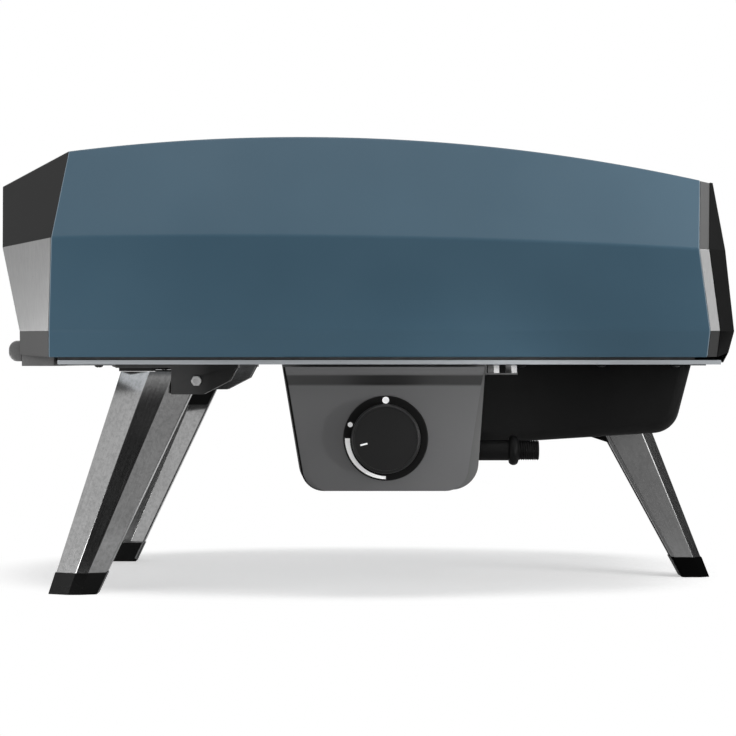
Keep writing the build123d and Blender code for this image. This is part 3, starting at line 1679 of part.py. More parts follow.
pieces = {
    "outer_shell": outer_shell(),
    "insulation_blanket": insulation_blanket(),
    "inner_liner": inner_liner(),
    "rear_blanket": rear_blanket(),
    "hood_top": hood_top(),
    "hood_cheeks": hood_cheeks(),
    "hood_skirts": hood_skirts(),
    "mouth_frame": mouth_frame(),
    "landing_pan": landing_pan(),
    "front_lip": front_lip(),
    "floor_board": floor_board(),
    "floor_pan": floor_pan(),
    "stone_rails": stone_rails(),
    "pizza_stone": pizza_stone(),
    "base_pan": base_pan(),
    "base_seal": base_seal(),
    "rear_trim_top": rear_trim_top(),
    "rear_trim_cheeks": rear_trim_cheeks(),
    "rear_trim_skirts": rear_trim_skirts(),
    "rear_cap": rear_cap(),
    "rear_cap_screws": cap_screws(),
    "burner_tub": burner_tub(),
    "burner_tube": burner_tube(),
    "mixer_tube": mixer_tube(),
    "air_shutter": air_shutter(),
    "gas_jet": gas_jet(),
    "feed_pipe": feed_pipe(),
    "burner_saddles": burner_saddles(),
    "flame_guard": flame_guard(),
    "spark_electrode": spark_electrode(),
    "thermocouple": thermocouple(),
    "control_panel": control_panel(),
    "control_housing": control_housing(),
    "knob_bezel": knob_bezel(),
    "dial_marks": dial_marks(),
    "knob": knob(),
    "knob_pointer": knob_pointer(),
    "valve_stem": valve_stem(),
    "gas_valve": gas_valve(),
    "gas_inlet": gas_inlet(),
    "inlet_collar": inlet_collar(),
    "side_strap": side_strap(),
    "strap_spacers": strap_spacers(),
    "front_bracket_plates": both_sides(front_bracket()),
    "front_bracket_cheeks": both_sides(front_bracket_cheek()),
    "front_leg_stops": both_sides(leg_stop()),
    "front_pivot_bolts": both_sides(pivot_bolt()),
    "front_pivot_nuts": both_sides(pivot_nut_piece()),
    "front_leg_right": front_leg(),
    "front_leg_left": other_side(front_leg()),
    "front_leg_hub_right": front_leg_hub(),
    "front_leg_hub_left": other_side(front_leg_hub()),
    "front_foot_right": front_foot(),
    "front_foot_left": other_side(front_foot()),
    "rear_leg": rear_leg(),
    "rear_leg_hub": rear_leg_hub(),
    "rear_foot": rear_foot(),
    "rear_bracket": rear_bracket(),
    "rear_pivot_pin": rear_pivot_pin(),
    "base_screws": screws(all_screw_places()),
}

os.makedirs("parts", exist_ok=True)
for name, shape in pieces.items():
    export_step(shape, f"parts/{name}.step")
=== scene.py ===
import json
import math

import bmesh
import bpy
import numpy as np
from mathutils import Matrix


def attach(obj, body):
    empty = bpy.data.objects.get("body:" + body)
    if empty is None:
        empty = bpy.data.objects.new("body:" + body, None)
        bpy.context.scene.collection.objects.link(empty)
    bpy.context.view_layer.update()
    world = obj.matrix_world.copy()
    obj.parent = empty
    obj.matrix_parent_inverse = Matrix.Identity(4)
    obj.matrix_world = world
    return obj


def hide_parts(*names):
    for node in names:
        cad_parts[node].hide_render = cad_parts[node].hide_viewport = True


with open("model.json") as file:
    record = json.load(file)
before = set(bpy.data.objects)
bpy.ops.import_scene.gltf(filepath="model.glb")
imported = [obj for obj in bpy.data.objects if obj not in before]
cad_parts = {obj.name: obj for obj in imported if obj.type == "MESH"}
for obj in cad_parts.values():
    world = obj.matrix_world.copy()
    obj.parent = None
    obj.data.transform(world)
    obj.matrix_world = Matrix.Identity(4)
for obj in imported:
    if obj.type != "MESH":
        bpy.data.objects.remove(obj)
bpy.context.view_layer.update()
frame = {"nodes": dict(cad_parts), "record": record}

# Sizes are in millimetres, as the solids have them, and meshes are scaled to metres at the end.
MM = 0.001


# Camera and lamps


def place_camera():
    """A camera level with the base pan, on the control box's side."""
    picture, left, down = 736, 6.0, 8.0
    distance, rearward, height = 2.447, 0.0022, 0.2313
    data = bpy.data.cameras.new("camera")
    data.sensor_width = 36.0
    data.lens = 111.67
    data.shift_x = -left / picture
    data.shift_y = -down / picture
    data.clip_end = 50.0
    camera = bpy.data.objects.new("camera", data)
    camera.location = (distance, rearward, height)
    camera.rotation_euler = (math.pi / 2, 0.0, math.pi / 2)
    bpy.context.scene.collection.objects.link(camera)
    bpy.context.scene.camera = camera


def softbox(name, place, aim, width, height, watts, spread=180.0):
    """A rectangular lamp at one place, turned towards another, its beam spread in degrees."""
    data = bpy.data.lights.new(name, "AREA")
    data.shape = "RECTANGLE"
    data.size = width
    data.size_y = height
    data.energy = watts
    data.spread = math.radians(spread)
    lamp = bpy.data.objects.new(name, data)
    lamp.location = place
    run = [a - b for a, b in zip(aim, place)]
    flat = math.hypot(run[0], run[1])
    lamp.rotation_euler = (math.atan2(flat, -run[2]), 0.0, math.atan2(run[1], run[0]) - math.pi / 2)
    bpy.context.scene.collection.objects.link(lamp)


# Shader helpers


class Value:
    """A number socket of a node tree. Sums on it add Math nodes to that tree."""

    def __init__(self, nodes, socket):
        self.nodes = nodes
        self.socket = socket

    def math(self, operation, a, b, clamp=False):
        settings = {"operation": operation, "use_clamp": clamp}
        node = self.nodes.add("ShaderNodeMath", settings, {0: a, 1: b})
        return Value(self.nodes, node.outputs[0])

    def __add__(self, other):
        return self.math("ADD", self, other)

    def __radd__(self, other):
        return self.math("ADD", other, self)

    def __rsub__(self, other):
        return self.math("SUBTRACT", other, self)

    def __mul__(self, other):
        return self.math("MULTIPLY", self, other)

    def __rmul__(self, other):
        return self.math("MULTIPLY", other, self)

    def __pow__(self, other):
        return self.math("POWER", self, other)

    def held(self):
        """The value kept between 0 and 1."""
        return self.math("MULTIPLY", self, 1.0, clamp=True)


def srgb(red, green, blue):
    """A linear colour from 0 to 255 screen values."""
    channels = [c / 255 for c in (red, green, blue)]
    linear = [c / 12.92 if c <= 0.04045 else ((c + 0.055) / 1.055) ** 2.4 for c in channels]
    return (*linear, 1.0)


def grey(level):
    """A neutral colour from one screen value."""
    return srgb(level, level, level)


EVEN = (1.0, 1.0, 1.0)
UPSTANDING = (0.0, 0.0, 0.0)


class Nodes:
    """A node tree with short ways to add nodes, patterns and sums."""

    def __init__(self, tree):
        self.tree = tree

    def link(self, source, target):
        """Joins a value, a socket or a plain number to a node's input."""
        if isinstance(source, Value):
            source = source.socket
        if isinstance(source, bpy.types.NodeSocket):
            self.tree.links.new(source, target)
        else:
            target.default_value = source

    def add(self, kind, settings=None, sockets=None):
        """A node of any type, with its settings and then its sockets' values or links."""
        node = self.tree.nodes.new(kind)
        for key, value in (settings or {}).items():
            setattr(node, key, value)
        for key, value in (sockets or {}).items():
            self.link(value, node.inputs[key])
        return node

    def place(self, stretch=EVEN, turn=UPSTANDING):
        """Object coordinates, turned and then squeezed along each axis."""
        vector = self.add("ShaderNodeTexCoord").outputs["Object"]
        if any(turn):
            sockets = {"Vector": vector, "Rotation": turn}
            vector = self.add("ShaderNodeMapping", None, sockets).outputs["Vector"]
        sockets = {"Vector": vector, "Scale": stretch}
        return self.add("ShaderNodeMapping", None, sockets).outputs["Vector"]

    def noise(self, scale, detail=3.0, roughness=0.55, stretch=EVEN, warp=0.0, turn=UPSTANDING):
        """Cloudy noise from 0 to 1, with that many cells to the metre."""
        sockets = {
            "Vector": self.place(stretch, turn),
            "Scale": scale,
            "Detail": detail,
            "Roughness": roughness,
            "Distortion": warp,
        }
        return Value(self, self.add("ShaderNodeTexNoise", None, sockets).outputs["Fac"])

    def cells(self, scale):
        """Distance to the nearest of many scattered points."""
        node = self.add("ShaderNodeTexVoronoi", None, {"Vector": self.place(), "Scale": scale})
        return Value(self, node.outputs["Distance"])

    def along(self, axis, output="Object"):
        """One of the coordinates, in metres."""
        coordinates = self.add("ShaderNodeTexCoord")
        node = self.add("ShaderNodeSeparateXYZ", None, {0: coordinates.outputs[output]})
        return Value(self, node.outputs[axis])

    def ray(self, kind):
        """1 where the ray is of that kind."""
        return Value(self, self.add("ShaderNodeLightPath").outputs[kind])

    def mark(self, name):
        """A number stored on the mesh's points."""
        node = self.add("ShaderNodeAttribute", {"attribute_name": name})
        return Value(self, node.outputs["Fac"])

    def step(self, value, low, high, soft=True):
        """0 below low and 1 above high."""
        settings = {"interpolation_type": "SMOOTHSTEP" if soft else "LINEAR"}
        sockets = {"Value": value, "From Min": low, "From Max": high}
        return Value(self, self.add("ShaderNodeMapRange", settings, sockets).outputs["Result"])

    def mix(self, factor, first, second):
        """A colour between two colours."""
        node = self.add("ShaderNodeMix", {"data_type": "RGBA"}, {0: factor, 6: first, 7: second})
        return node.outputs[2]


class Finish(Nodes):
    """A material with one Principled shader, whose uniform values are given by socket name."""

    def __init__(self, name, **uniform):
        self.material = bpy.data.materials.new(name)
        self.material.use_nodes = True
        super().__init__(self.material.node_tree)
        self.shader = self.tree.nodes["Principled BSDF"]
        for socket, value in uniform.items():
            self.shader.inputs[socket.replace("_", " ")].default_value = value

    def colour(self, source):
        self.link(source, self.shader.inputs["Base Color"])

    def rough(self, source):
        self.link(source, self.shader.inputs["Roughness"])

    def bump(self, *layers):
        """Stacked bumps, each a height, a strength and a distance in metres."""
        normal = None
        for height, strength, distance in layers:
            sockets = {"Height": height, "Strength": strength, "Distance": distance}
            if normal is not None:
                sockets["Normal"] = normal
            normal = self.add("ShaderNodeBump", None, sockets).outputs["Normal"]
        self.link(normal, self.shader.inputs["Normal"])


# Finishes


def powder_coat(name, colour, light, rough, level, edge=None, darken_rim_as_metal=False):
    """Baked powder: slow tone drift, fine speckle and orange peel.

    Points with a rim mark take the edge's tone, which paints a highlight on some pieces and shade on
    others. Where asked they turn metallic, which darkens that painted shade further.
    """
    finish = Finish(name, Specular_IOR_Level=level)
    drift = finish.noise(7.0, 2.0)
    speck = finish.step(finish.noise(2600.0, 1.0), 0.60, 0.74)
    tone = finish.mix(finish.step(drift, 0.3, 0.7), colour, light)
    tone = finish.mix(speck * 0.12, tone, tuple([min(1.0, c * 1.8) for c in light[:3]] + [1.0]))
    # The rim marks carry painted light: a pale edge tone paints a highlight, a dark one paints shade.
    if edge is not None:
        tone = finish.mix(finish.mark("rim").held(), tone, edge)
    # Metallic rim points darken the painted shade further.
    if darken_rim_as_metal:
        metal = finish.step(finish.mark("rim"), 0.9, 1.0, soft=False)
        finish.link(metal, finish.shader.inputs["Metallic"])
    finish.colour(tone)
    finish.rough(rough - 0.05 + 0.1 * finish.noise(18.0, 3.0))
    finish.bump((finish.noise(850.0, 2.0), 0.14, 0.00012), (finish.noise(2600.0, 1.0), 0.05, 0.00004))
    return finish.material


def brushed(name, colour, light, rough, grain, turn=UPSTANDING, smear_tone=None, grit=0.0):
    """Brushed stainless: long fine scratches one way, slow smears, grit and faint marks of handling."""
    finish = Finish(name, Metallic=1.0, Specular_IOR_Level=0.5)
    scratch = finish.noise(900.0, 3.0, 0.65, grain, turn=turn)
    hair = finish.noise(2400.0, 2.0, 0.7, grain, turn=turn)
    smear = finish.noise(14.0, 3.0, 0.6)
    nick = finish.step(finish.noise(420.0, 2.0, 0.5, warp=0.4), 0.70, 0.78)
    tone = finish.mix(finish.step(scratch, 0.3, 0.7, soft=False), colour, light)
    if smear_tone is not None:
        tone = finish.mix(finish.step(smear, 0.42, 0.8) * 0.4, tone, smear_tone)
    if grit:
        specks = finish.step(finish.noise(260.0, 4.0, 0.7), 0.36, 0.72)
        tone = finish.mix(specks * grit, tone, grey(84))
    finish.colour(finish.mix(nick * 0.25, tone, grey(95)))
    finish.rough(rough - 0.08 + 0.10 * scratch + 0.10 * smear)
    finish.bump((scratch, 0.08, 0.00006), (hair, 0.05, 0.00003))
    return finish.material


def sheet_steel(name, colour, light, rough, tint):
    """Mill-finish sheet: faint rolling lines along Y, cloudy sheen, and straw heat tint in clouds."""
    finish = Finish(name, Metallic=1.0)
    roll = finish.noise(600.0, 2.0, 0.6, (1.0, 0.03, 1.0))
    cloud = finish.noise(9.0, 4.0, 0.6, warp=0.6)
    tone = finish.mix(finish.step(roll, 0.3, 0.7), colour, light)
    finish.colour(finish.mix(finish.step(cloud, 0.42, 0.75) * 0.5, tone, tint))
    finish.rough(rough + 0.10 * cloud + 0.05 * roll)
    finish.bump((roll, 0.06, 0.00005), (cloud, 0.05, 0.0006))
    return finish.material


def moulded(name, colour, light, rough, level, grain=0.16):
    """Moulded plastic: spark-eroded grain with slow changes of sheen."""
    finish = Finish(name, Specular_IOR_Level=level)
    sheen = finish.noise(26.0, 3.0)
    finish.colour(finish.mix(sheen, colour, light))
    finish.rough(rough - 0.05 + 0.1 * sheen)
    fine, coarse = finish.cells(2300.0), finish.noise(1200.0, 2.0)
    finish.bump((fine, grain, 0.00005), (coarse, grain * 0.6, 0.00005))
    return finish.material


def enamel(name, colour, light, rough, level):
    """Heat-proof black: fine tooth, faint dust in slow clouds."""
    finish = Finish(name, Specular_IOR_Level=level)
    dust = finish.step(finish.noise(30.0, 5.0, 0.65), 0.35, 0.85)
    finish.colour(finish.mix(dust, colour, light))
    finish.rough(rough + 0.08 * finish.noise(45.0, 3.0))
    finish.bump((finish.noise(1500.0, 2.0), 0.14, 0.00008), (finish.noise(300.0, 2.0), 0.04, 0.0002))
    return finish.material


def bracket_enamel(name, colour, light, painted_shade):
    """Black enamel with dusty clouds, and painted shade towards the rear of the right-hand bracket."""
    finish = Finish(name, Specular_IOR_Level=0.3)
    tone = finish.mix(finish.step(finish.noise(30.0, 5.0, 0.65), 0.35, 0.85), colour, light)
    # Painted shade: the rear of the right-hand bracket is darkened towards near black.
    shaded_rear = finish.step(finish.along(1), -0.180, -0.156) * finish.step(finish.along(0), -0.1, 0.1)
    finish.colour(finish.mix(shaded_rear * 0.9, tone, painted_shade))
    finish.rough(0.42 + 0.08 * finish.noise(45.0, 3.0))
    finish.bump((finish.noise(1500.0, 2.0), 0.14, 0.00008), (finish.noise(300.0, 2.0), 0.04, 0.0002))
    return finish.material


def fired_stone(name):
    """Cordierite: sandy mottling, dark and pale grains, pores, and faint scorch clouds."""
    finish = Finish(name, Specular_IOR_Level=0.25)
    sand = finish.noise(240.0, 6.0, 0.7)
    scorch = finish.step(finish.noise(9.0, 5.0, 0.6, warp=0.8), 0.52, 0.78)
    tone = finish.mix(finish.step(sand, 0.3, 0.7), srgb(196, 176, 148), srgb(222, 207, 184))
    tone = finish.mix(finish.step(finish.noise(900.0, 2.0), 0.66, 0.76) * 0.6, tone, srgb(120, 98, 78))
    tone = finish.mix(scorch * 0.3, tone, srgb(128, 98, 70))
    finish.colour(tone)
    finish.rough(0.82 + 0.12 * sand)
    pore = finish.step(finish.cells(420.0), 0.0, 0.28)
    finish.bump((pore, 0.3, 0.0003), (sand, 0.3, 0.0004))
    return finish.material


def fibre(name, colour, light, felt):
    """Ceramic fibre: matted threads with needle dimples."""
    finish = Finish(name, Specular_IOR_Level=0.1)
    thread = finish.noise(500.0, 6.0, 0.75, (1.0, 0.35, 1.0), 1.5)
    finish.colour(finish.mix(finish.step(thread, 0.3, 0.75), colour, light))
    finish.rough(0.9 + 0.08 * thread)
    dimple = finish.step(finish.cells(110.0), 0.05, 0.35)
    finish.bump((thread, felt, 0.0009), (dimple, felt * 0.7, 0.0008))
    return finish.material


def turned(name, colour, light, rough):
    """Turned or plated metal: fine tool lines, bright spots and slow tarnish."""
    finish = Finish(name, Metallic=1.0)
    tarnish = finish.noise(60.0, 4.0, 0.6)
    line = finish.noise(3000.0, 1.0)
    finish.colour(finish.mix(finish.step(tarnish, 0.35, 0.75), light, colour))
    finish.rough(rough + 0.12 * tarnish)
    finish.bump((line, 0.08, 0.00003))
    return finish.material


def printed(name):
    """White printing ink: slight pinholes and a soft dusty tone."""
    finish = Finish(name, Specular_IOR_Level=0.35)
    speck = finish.noise(1800.0, 2.0)
    finish.colour(finish.mix(finish.step(speck, 0.55, 0.8) * 0.35, grey(252), grey(222)))
    finish.rough(0.5 + 0.12 * speck)
    finish.bump((speck, 0.12, 0.00004))
    return finish.material


def rubber(name, colour, light):
    """Dull rubber with a faint grey bloom."""
    finish = Finish(name, Specular_IOR_Level=0.25)
    bloom = finish.noise(70.0, 4.0, 0.6)
    finish.colour(finish.mix(finish.step(bloom, 0.4, 0.8), colour, light))
    finish.rough(0.72 + 0.12 * bloom)
    finish.bump((finish.noise(1400.0, 2.0), 0.2, 0.00008))
    return finish.material


def glazed(name):
    """White igniter ceramic: a thin glaze over a grainy body."""
    finish = Finish(name, Specular_IOR_Level=0.5, Coat_Roughness=0.1)
    grain = finish.noise(700.0, 3.0)
    finish.colour(finish.mix(grain, srgb(233, 229, 220), srgb(246, 244, 238)))
    finish.rough(0.28 + 0.14 * grain)
    finish.bump((grain, 0.08, 0.00005))
    return finish.material


UPRIGHT = (1.0, 1.0, 0.015)
LENGTHWISE = (1.0, 0.015, 1.0)
ACROSS = (0.015, 1.0, 1.0)
FRONT_LEG_LEAN = (math.radians(20.6), 0.0, 0.0)
REAR_LEG_LEAN = (math.radians(-26.0), 0.0, 0.0)

slate_tones = srgb(56, 84, 101), srgb(60, 88, 105)
# The shell's edge tone is a painted highlight line along its front and rear rims.
slate = powder_coat("slate_blue_coat", *slate_tones, 0.42, 0.24, edge=srgb(150, 164, 174))
charcoal = powder_coat("charcoal_coat", grey(32), grey(37), 0.44, 0.2)
dark_coat = powder_coat("dark_grey_coat", grey(80), grey(85), 0.55, 0.3)
trim_foot_coat = powder_coat("trim_foot_coat", grey(58), grey(63), 0.55, 0.3)
grey_coat = powder_coat("mid_grey_coat", grey(80), grey(86), 0.5, 0.3)
panel_tones = srgb(77, 77, 78), srgb(82, 82, 83)
# The panel's edge tone grey(20) is painted shade on its step and front edge, made darker at the front
# edge by metal.
panel_coat = powder_coat("panel_grey_coat", *panel_tones, 0.40, 0.66, edge=grey(20), darken_rim_as_metal=True)
black_coat = enamel("stove_black", grey(7), grey(12), 0.55, 0.17)
# grey(8) is the painted shade at the rear of the right-hand bracket.
bracket_coat = bracket_enamel("bracket_black", grey(50), grey(60), grey(8))
cap_coat = enamel("rear_cap_black", grey(6), grey(9), 0.5, 0.045)
cheek_steel = brushed("brushed_cheek", grey(146), grey(154), 0.34, UPRIGHT)
leg_grain = UPRIGHT, FRONT_LEG_LEAN
leg_steel = brushed("brushed_leg", grey(156), grey(166), 0.14, *leg_grain, grey(140), 0.3)
back_leg_grain = UPRIGHT, REAR_LEG_LEAN
back_leg_steel = brushed("brushed_back_leg", grey(134), grey(142), 0.2, *back_leg_grain, grey(124), 0.2)
base_steel = brushed("brushed_base", srgb(171, 175, 179), srgb(187, 191, 195), 0.44, LENGTHWISE)
landing_steel = brushed("brushed_landing", grey(112), grey(124), 0.40, ACROSS)
face_steel = brushed("brushed_mouth", grey(176), grey(192), 0.40, ACROSS)
liner_tones = srgb(158, 157, 155), srgb(178, 177, 175)
liner_steel = sheet_steel("liner_sheet", *liner_tones, 0.34, srgb(168, 150, 118))
knob_black = moulded("knob_black", grey(19), grey(23), 0.42, 0.22)
plate_black = moulded("backplate_black", grey(10), grey(13), 0.45, 0.11)
hub_black = moulded("hub_black", grey(6), grey(9), 0.5, 0.1)
foot_black = moulded("foot_black", grey(3), grey(5), 0.27, 0.17, 0.12)
rear_foot_black = moulded("rear_foot_black", grey(3), grey(5), 0.4, 0.03, 0.24)
lip_steel = brushed("brushed_lip", grey(115), grey(127), 0.34, ACROSS)
trim_steel = brushed("brushed_trim", grey(218), grey(228), 0.36, UPRIGHT)
zinc = turned("bright_zinc", grey(124), grey(142), 0.16)
bolt_zinc = turned("hinge_bolt_zinc", grey(196), grey(214), 0.34)
dark_zinc = turned("blackened_zinc", grey(52), grey(66), 0.38)
brass = turned("turned_brass", srgb(176, 140, 78), srgb(206, 172, 108), 0.26)
blanket_wool = fibre("fibre_wool", srgb(222, 219, 212), srgb(242, 240, 235), 0.7)
board = fibre("fibre_board", srgb(206, 200, 188), srgb(222, 217, 206), 0.35)
baking = fired_stone("fired_stone")
ink = printed("white_ink")
black_rubber = rubber("black_rubber", grey(24), grey(40))
seal_rubber = rubber("seal_rubber", grey(58), grey(72))
ceramic = glazed("igniter_ceramic")

SLOT_FINISHES = {
    "painted_blue": slate,
    "charcoal_satin": charcoal,
    "brushed_steel": cheek_steel,
    "steel_sheet": liner_steel,
    "dark_grey": dark_coat,
    "trim_grey": grey_coat,
    "panel_grey": panel_coat,
    "black_enamel": black_coat,
    "black_plastic": hub_black,
    "black_rubber": black_rubber,
    "white_print": ink,
    "stone": baking,
    "fibre_blanket": blanket_wool,
    "fibre_board": board,
    "brass": brass,
    "ceramic": ceramic,
    "zinc_steel": zinc,
}

NODE_FINISHES = {
    "base_pan": base_steel,
    "base_seal": seal_rubber,
    "mouth_frame": face_steel,
    "landing_pan": landing_steel,
    "front_bracket_cheeks": leg_steel,
    "rear_cap": cap_coat,
    "front_foot_right": foot_black,
    "front_foot_left": foot_black,
    "rear_foot": rear_foot_black,
    "front_bracket_plates": bracket_coat,
}

# How far a CAD node's edges are rounded, in millimetres, where it isn't the usual amount.
NODE_EDGES = {
    "front_foot_right": 0.7,
    "front_foot_left": 0.7,
    "rear_foot": 0.7,
    "front_leg_hub_right": 0.6,
    "front_leg_hub_left": 0.6,
    "rear_leg_hub": 0.6,
    "pizza_stone": 0.8,
    "rear_cap": 0.5,
    "front_bracket_plates": 0.5,
    "front_bracket_cheeks": 0.4,
}
USUAL_EDGE = 0.25


# Mesh helpers


def body_of(node):
    """The CAD body that a node belongs to."""
    for body, nodes in frame["record"]["behaviour"]["bodies"].items():
        if node in nodes:
            return body
    raise ValueError(node)


def slot_of(node):
    """The record's material slot of a node."""
    for entry in frame["record"]["subparts"]:
        if entry["node"] == node:
            return entry["material_slot"]
    raise ValueError(node)


def rim_mark(points, reach):
    """1 on the first and last rows of a grid, falling to 0 within that many millimetres."""
    run = np.linalg.norm(np.diff(points, axis=0), axis=-1)
    from_start = np.concatenate([np.zeros((1, points.shape[1])), np.cumsum(run, axis=0)])
    nearest = np.minimum(from_start, from_start[-1:] - from_start)
    return np.clip(1 - nearest / reach, 0, 1)


def surface(name, grids, nodes, finish, wrap=False, wall=0.0, edge=0.0, rim=0.0, shade=None):
    """A piece from one grid of points in millimetres or several, which stands for the nodes given.

    Its columns close on themselves where wrapped. A wall gives an open grid thickness inwards, an
    edge rounds its cut rims, and a rim marks the points that near to its first and last rows. A
    shade marks points too, as a function of their places.
    """
    grids = [grids] if isinstance(grids, np.ndarray) else grids
    places, quads, marks, count = [], [], [], 0
    for points in grids:
        rows, columns = points.shape[:2]
        index = count + np.arange(rows * columns).reshape(rows, columns)
        if wrap:
            index = np.concatenate([index, index[:, :1]], axis=1)
        corners = [index[:-1, :-1], index[:-1, 1:], index[1:, 1:], index[1:, :-1]]
        quads.append(np.stack(corners, axis=-1).reshape(-1, 4))
        places.append(points.reshape(-1, 3))
        mark = rim_mark(points, rim) if rim else np.zeros((rows, columns))
        marks.append((shade(points) if shade else mark).reshape(-1))
        count += rows * columns
    mesh = bpy.data.meshes.new(name)
    mesh.from_pydata((np.concatenate(places) * MM).tolist(), [], np.concatenate(quads).tolist())
    mark = mesh.attributes.new("rim", "FLOAT", "POINT")
    mark.data.foreach_set("value", np.concatenate(marks).astype(np.float32))
    work = bmesh.new()
    work.from_mesh(mesh)
    bmesh.ops.remove_doubles(work, verts=work.verts, dist=2e-6)
    bmesh.ops.dissolve_degenerate(work, edges=work.edges, dist=1e-6)
    work.to_mesh(mesh)
    work.free()
    mesh.polygons.foreach_set("use_smooth", [True] * len(mesh.polygons))
    mesh.materials.append(finish)
    thing = bpy.data.objects.new(name, mesh)
    bpy.context.scene.collection.objects.link(thing)
    if wall:
        shell = thing.modifiers.new("wall", "SOLIDIFY")
        shell.thickness = wall * MM
        shell.offset = -1.0
        shell.use_even_offset = True
    if edge:
        soften = thing.modifiers.new("edge", "BEVEL")
        soften.width = edge * MM
        soften.segments = 2
        soften.limit_method = "ANGLE"
        soften.angle_limit = math.radians(50)
        soften.harden_normals = True
    weigh = thing.modifiers.new("normals", "WEIGHTED_NORMAL")
    weigh.keep_sharp = False
    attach(thing, body_of(nodes[0]))
    slot_of(nodes[0])
    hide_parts(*nodes)


def mixed(first, second, share):
    """Points between two others, by share."""
    return first * (1 - share) + second * share


def stacked(*columns):
    """Points from arrays of x, y and z of any shapes that broadcast together."""
    return np.stack(np.broadcast_arrays(*columns), axis=-1).astype(float)


def end_rows(count, length, tight):
    """Shares from 0 to 1 as a column, with extra rows close to both ends."""
    near = np.array([0.0, tight * 0.5, tight, tight * 1.5]) / length
    middle = np.linspace(near[-1], 1 - near[-1], count)[1:-1]
    return np.concatenate([near, middle, 1 - near[::-1]])[:, None]


def bent(corners, tangent, spans=5, steps=5):
    """Outlines of bent sheet through corner points, one outline a row.

    Between corners the outline is straight. At each inner corner it is a parabola that leaves the
    straight runs at the tangent's distance from the corner, one for all corners or one for each.
    """
    tangents = np.broadcast_to(tangent, corners.shape[-2] - 2)
    run = np.diff(corners, axis=-2)
    unit = run / np.linalg.norm(run, axis=-1, keepdims=True)
    share = np.linspace(0, 1, spans)[:, None]
    turn = np.linspace(0, 1, steps + 2)[1:-1, None]
    parts, start = [], corners[..., 0, :]
    for index in range(1, corners.shape[-2] - 1):
        corner = corners[..., index, :]
        before = (corner - unit[..., index - 1, :] * tangents[index - 1])[..., None, :]
        after = (corner + unit[..., index, :] * tangents[index - 1])[..., None, :]
        parts.append(mixed(start[..., None, :], before, share))
        middle = corner[..., None, :]
        parts.append(before * (1 - turn) ** 2 + 2 * middle * turn * (1 - turn) + after * turn**2)
        start = after[..., 0, :]
    parts.append(mixed(start[..., None, :], corners[..., -1:, :], share))
    return np.concatenate(parts, axis=-2)


def moved_in(corners, distance):
    """Outlines at one y each, clockwise seen from the front, with every side moved in alike."""
    run = np.diff(corners, axis=-2)
    run = run / np.linalg.norm(run, axis=-1, keepdims=True)
    inward = np.stack([run[..., 2], np.zeros_like(run[..., 0]), -run[..., 0]], axis=-1)
    first = np.concatenate([inward[..., :1, :], inward], axis=-2)
    last = np.concatenate([inward, inward[..., -1:, :]], axis=-2)
    share = 1 + np.sum(first * last, axis=-1, keepdims=True)
    return corners + (first + last) / share * distance


def arc(centre, radius, start, end, count):
    """Points on a circle between two angles in degrees, for profiles."""
    turn = np.radians(np.linspace(start, end, count))
    return np.stack([centre[0] + radius * np.cos(turn), centre[1] + radius * np.sin(turn)], axis=-1)


def turned_grid(profile, centre, axis, sides, shape=None):
    """A profile of (radius, height) points carried once round an axis through the centre.

    The profile runs from low to high. shape, where given, is a function of the radius, the height
    and the angle that returns a new radius and height.
    """
    profile = np.asarray(profile, float)
    angle = np.linspace(0, 2 * math.pi, sides, endpoint=False)[None, :]
    radius, height = np.broadcast_arrays(profile[:, :1], profile[:, 1:], angle)[:2]
    if shape is not None:
        radius, height = shape(radius, height, angle)
    side, up = radius * np.cos(angle), radius * np.sin(angle)
    order = {"x": (height, side, up), "y": (up, height, side), "z": (side, up, height)}[axis]
    return stacked(*order) + np.asarray(centre, float)


def flipped(points):
    """A grid mirrored to the oven's other side, its columns reversed so it still faces outwards."""
    return points[:, ::-1] * np.array([-1.0, 1.0, 1.0])


# Body outline, as the solids have it


def roof_z(y):
    """Height of the roof: a long arc over the oven's length."""
    return 447.4 - (1801.0 - np.sqrt(1801.0**2 - (y + 69.5) ** 2))


def crease_z(y):
    """Height of the upper crease: a flatter arc."""
    return 349.2 - (7765.0 - np.sqrt(7765.0**2 - (y + 134.2) ** 2))


SILL_Z = 234.0
FOLD_Z = 258.9
CORNER_X = np.array([-262.0, -275.0, -285.0, -237.0, 237.0, 285.0, 275.0, 262.0])
FRONT_Y = np.array([-309.1, -307.3, -303.5, -293.1, -293.1, -303.5, -307.3, -309.1])
REAR_Y = np.array([321.2, 322.2, 310.3, 317.7, 317.7, 310.3, 322.2, 321.2])
JOINT_GAP = 0.4


def body_corners(y):
    """The eight corners of the body's outline, from left sill to right sill, for their y values."""
    z = np.empty(y.shape)
    z[..., [0, 7]] = SILL_Z
    z[..., [1, 6]] = FOLD_Z
    z[..., [2, 5]] = crease_z(y[..., [2, 5]])
    z[..., [3, 4]] = roof_z(y[..., [3, 4]])
    return stacked(CORNER_X, y, z)


def outer_shell():
    """The painted shell: outlines of seven facets from the front end line to the rear one.

    Its corners are tight parabolic bends, and its sills turn in as narrow flanges.
    """
    corners = body_corners(mixed(FRONT_Y, REAR_Y, end_rows(60, 630.0, 0.7)))
    flange = np.array([15.0, 0.0, 0.0])
    corners = np.concatenate([corners[:, :1] + flange, corners, corners[:, -1:] - flange], axis=1)
    sheet = bent(corners, 2.2)
    # The rim marks paint a pale highlight line along the shell's front and rear ends.
    surface("outer_shell_skin", sheet, ["outer_shell"], slate, wall=1.2, edge=0.25, rim=0.9)


# Hood


def across(a, b, c, y, z):
    """The x at which the plane through three points meets the given y and z."""
    normal = np.cross(b - a, c - a)
    return a[0] - (normal[1] * (y - a[1]) + normal[2] * (z - a[2])) / normal[0]


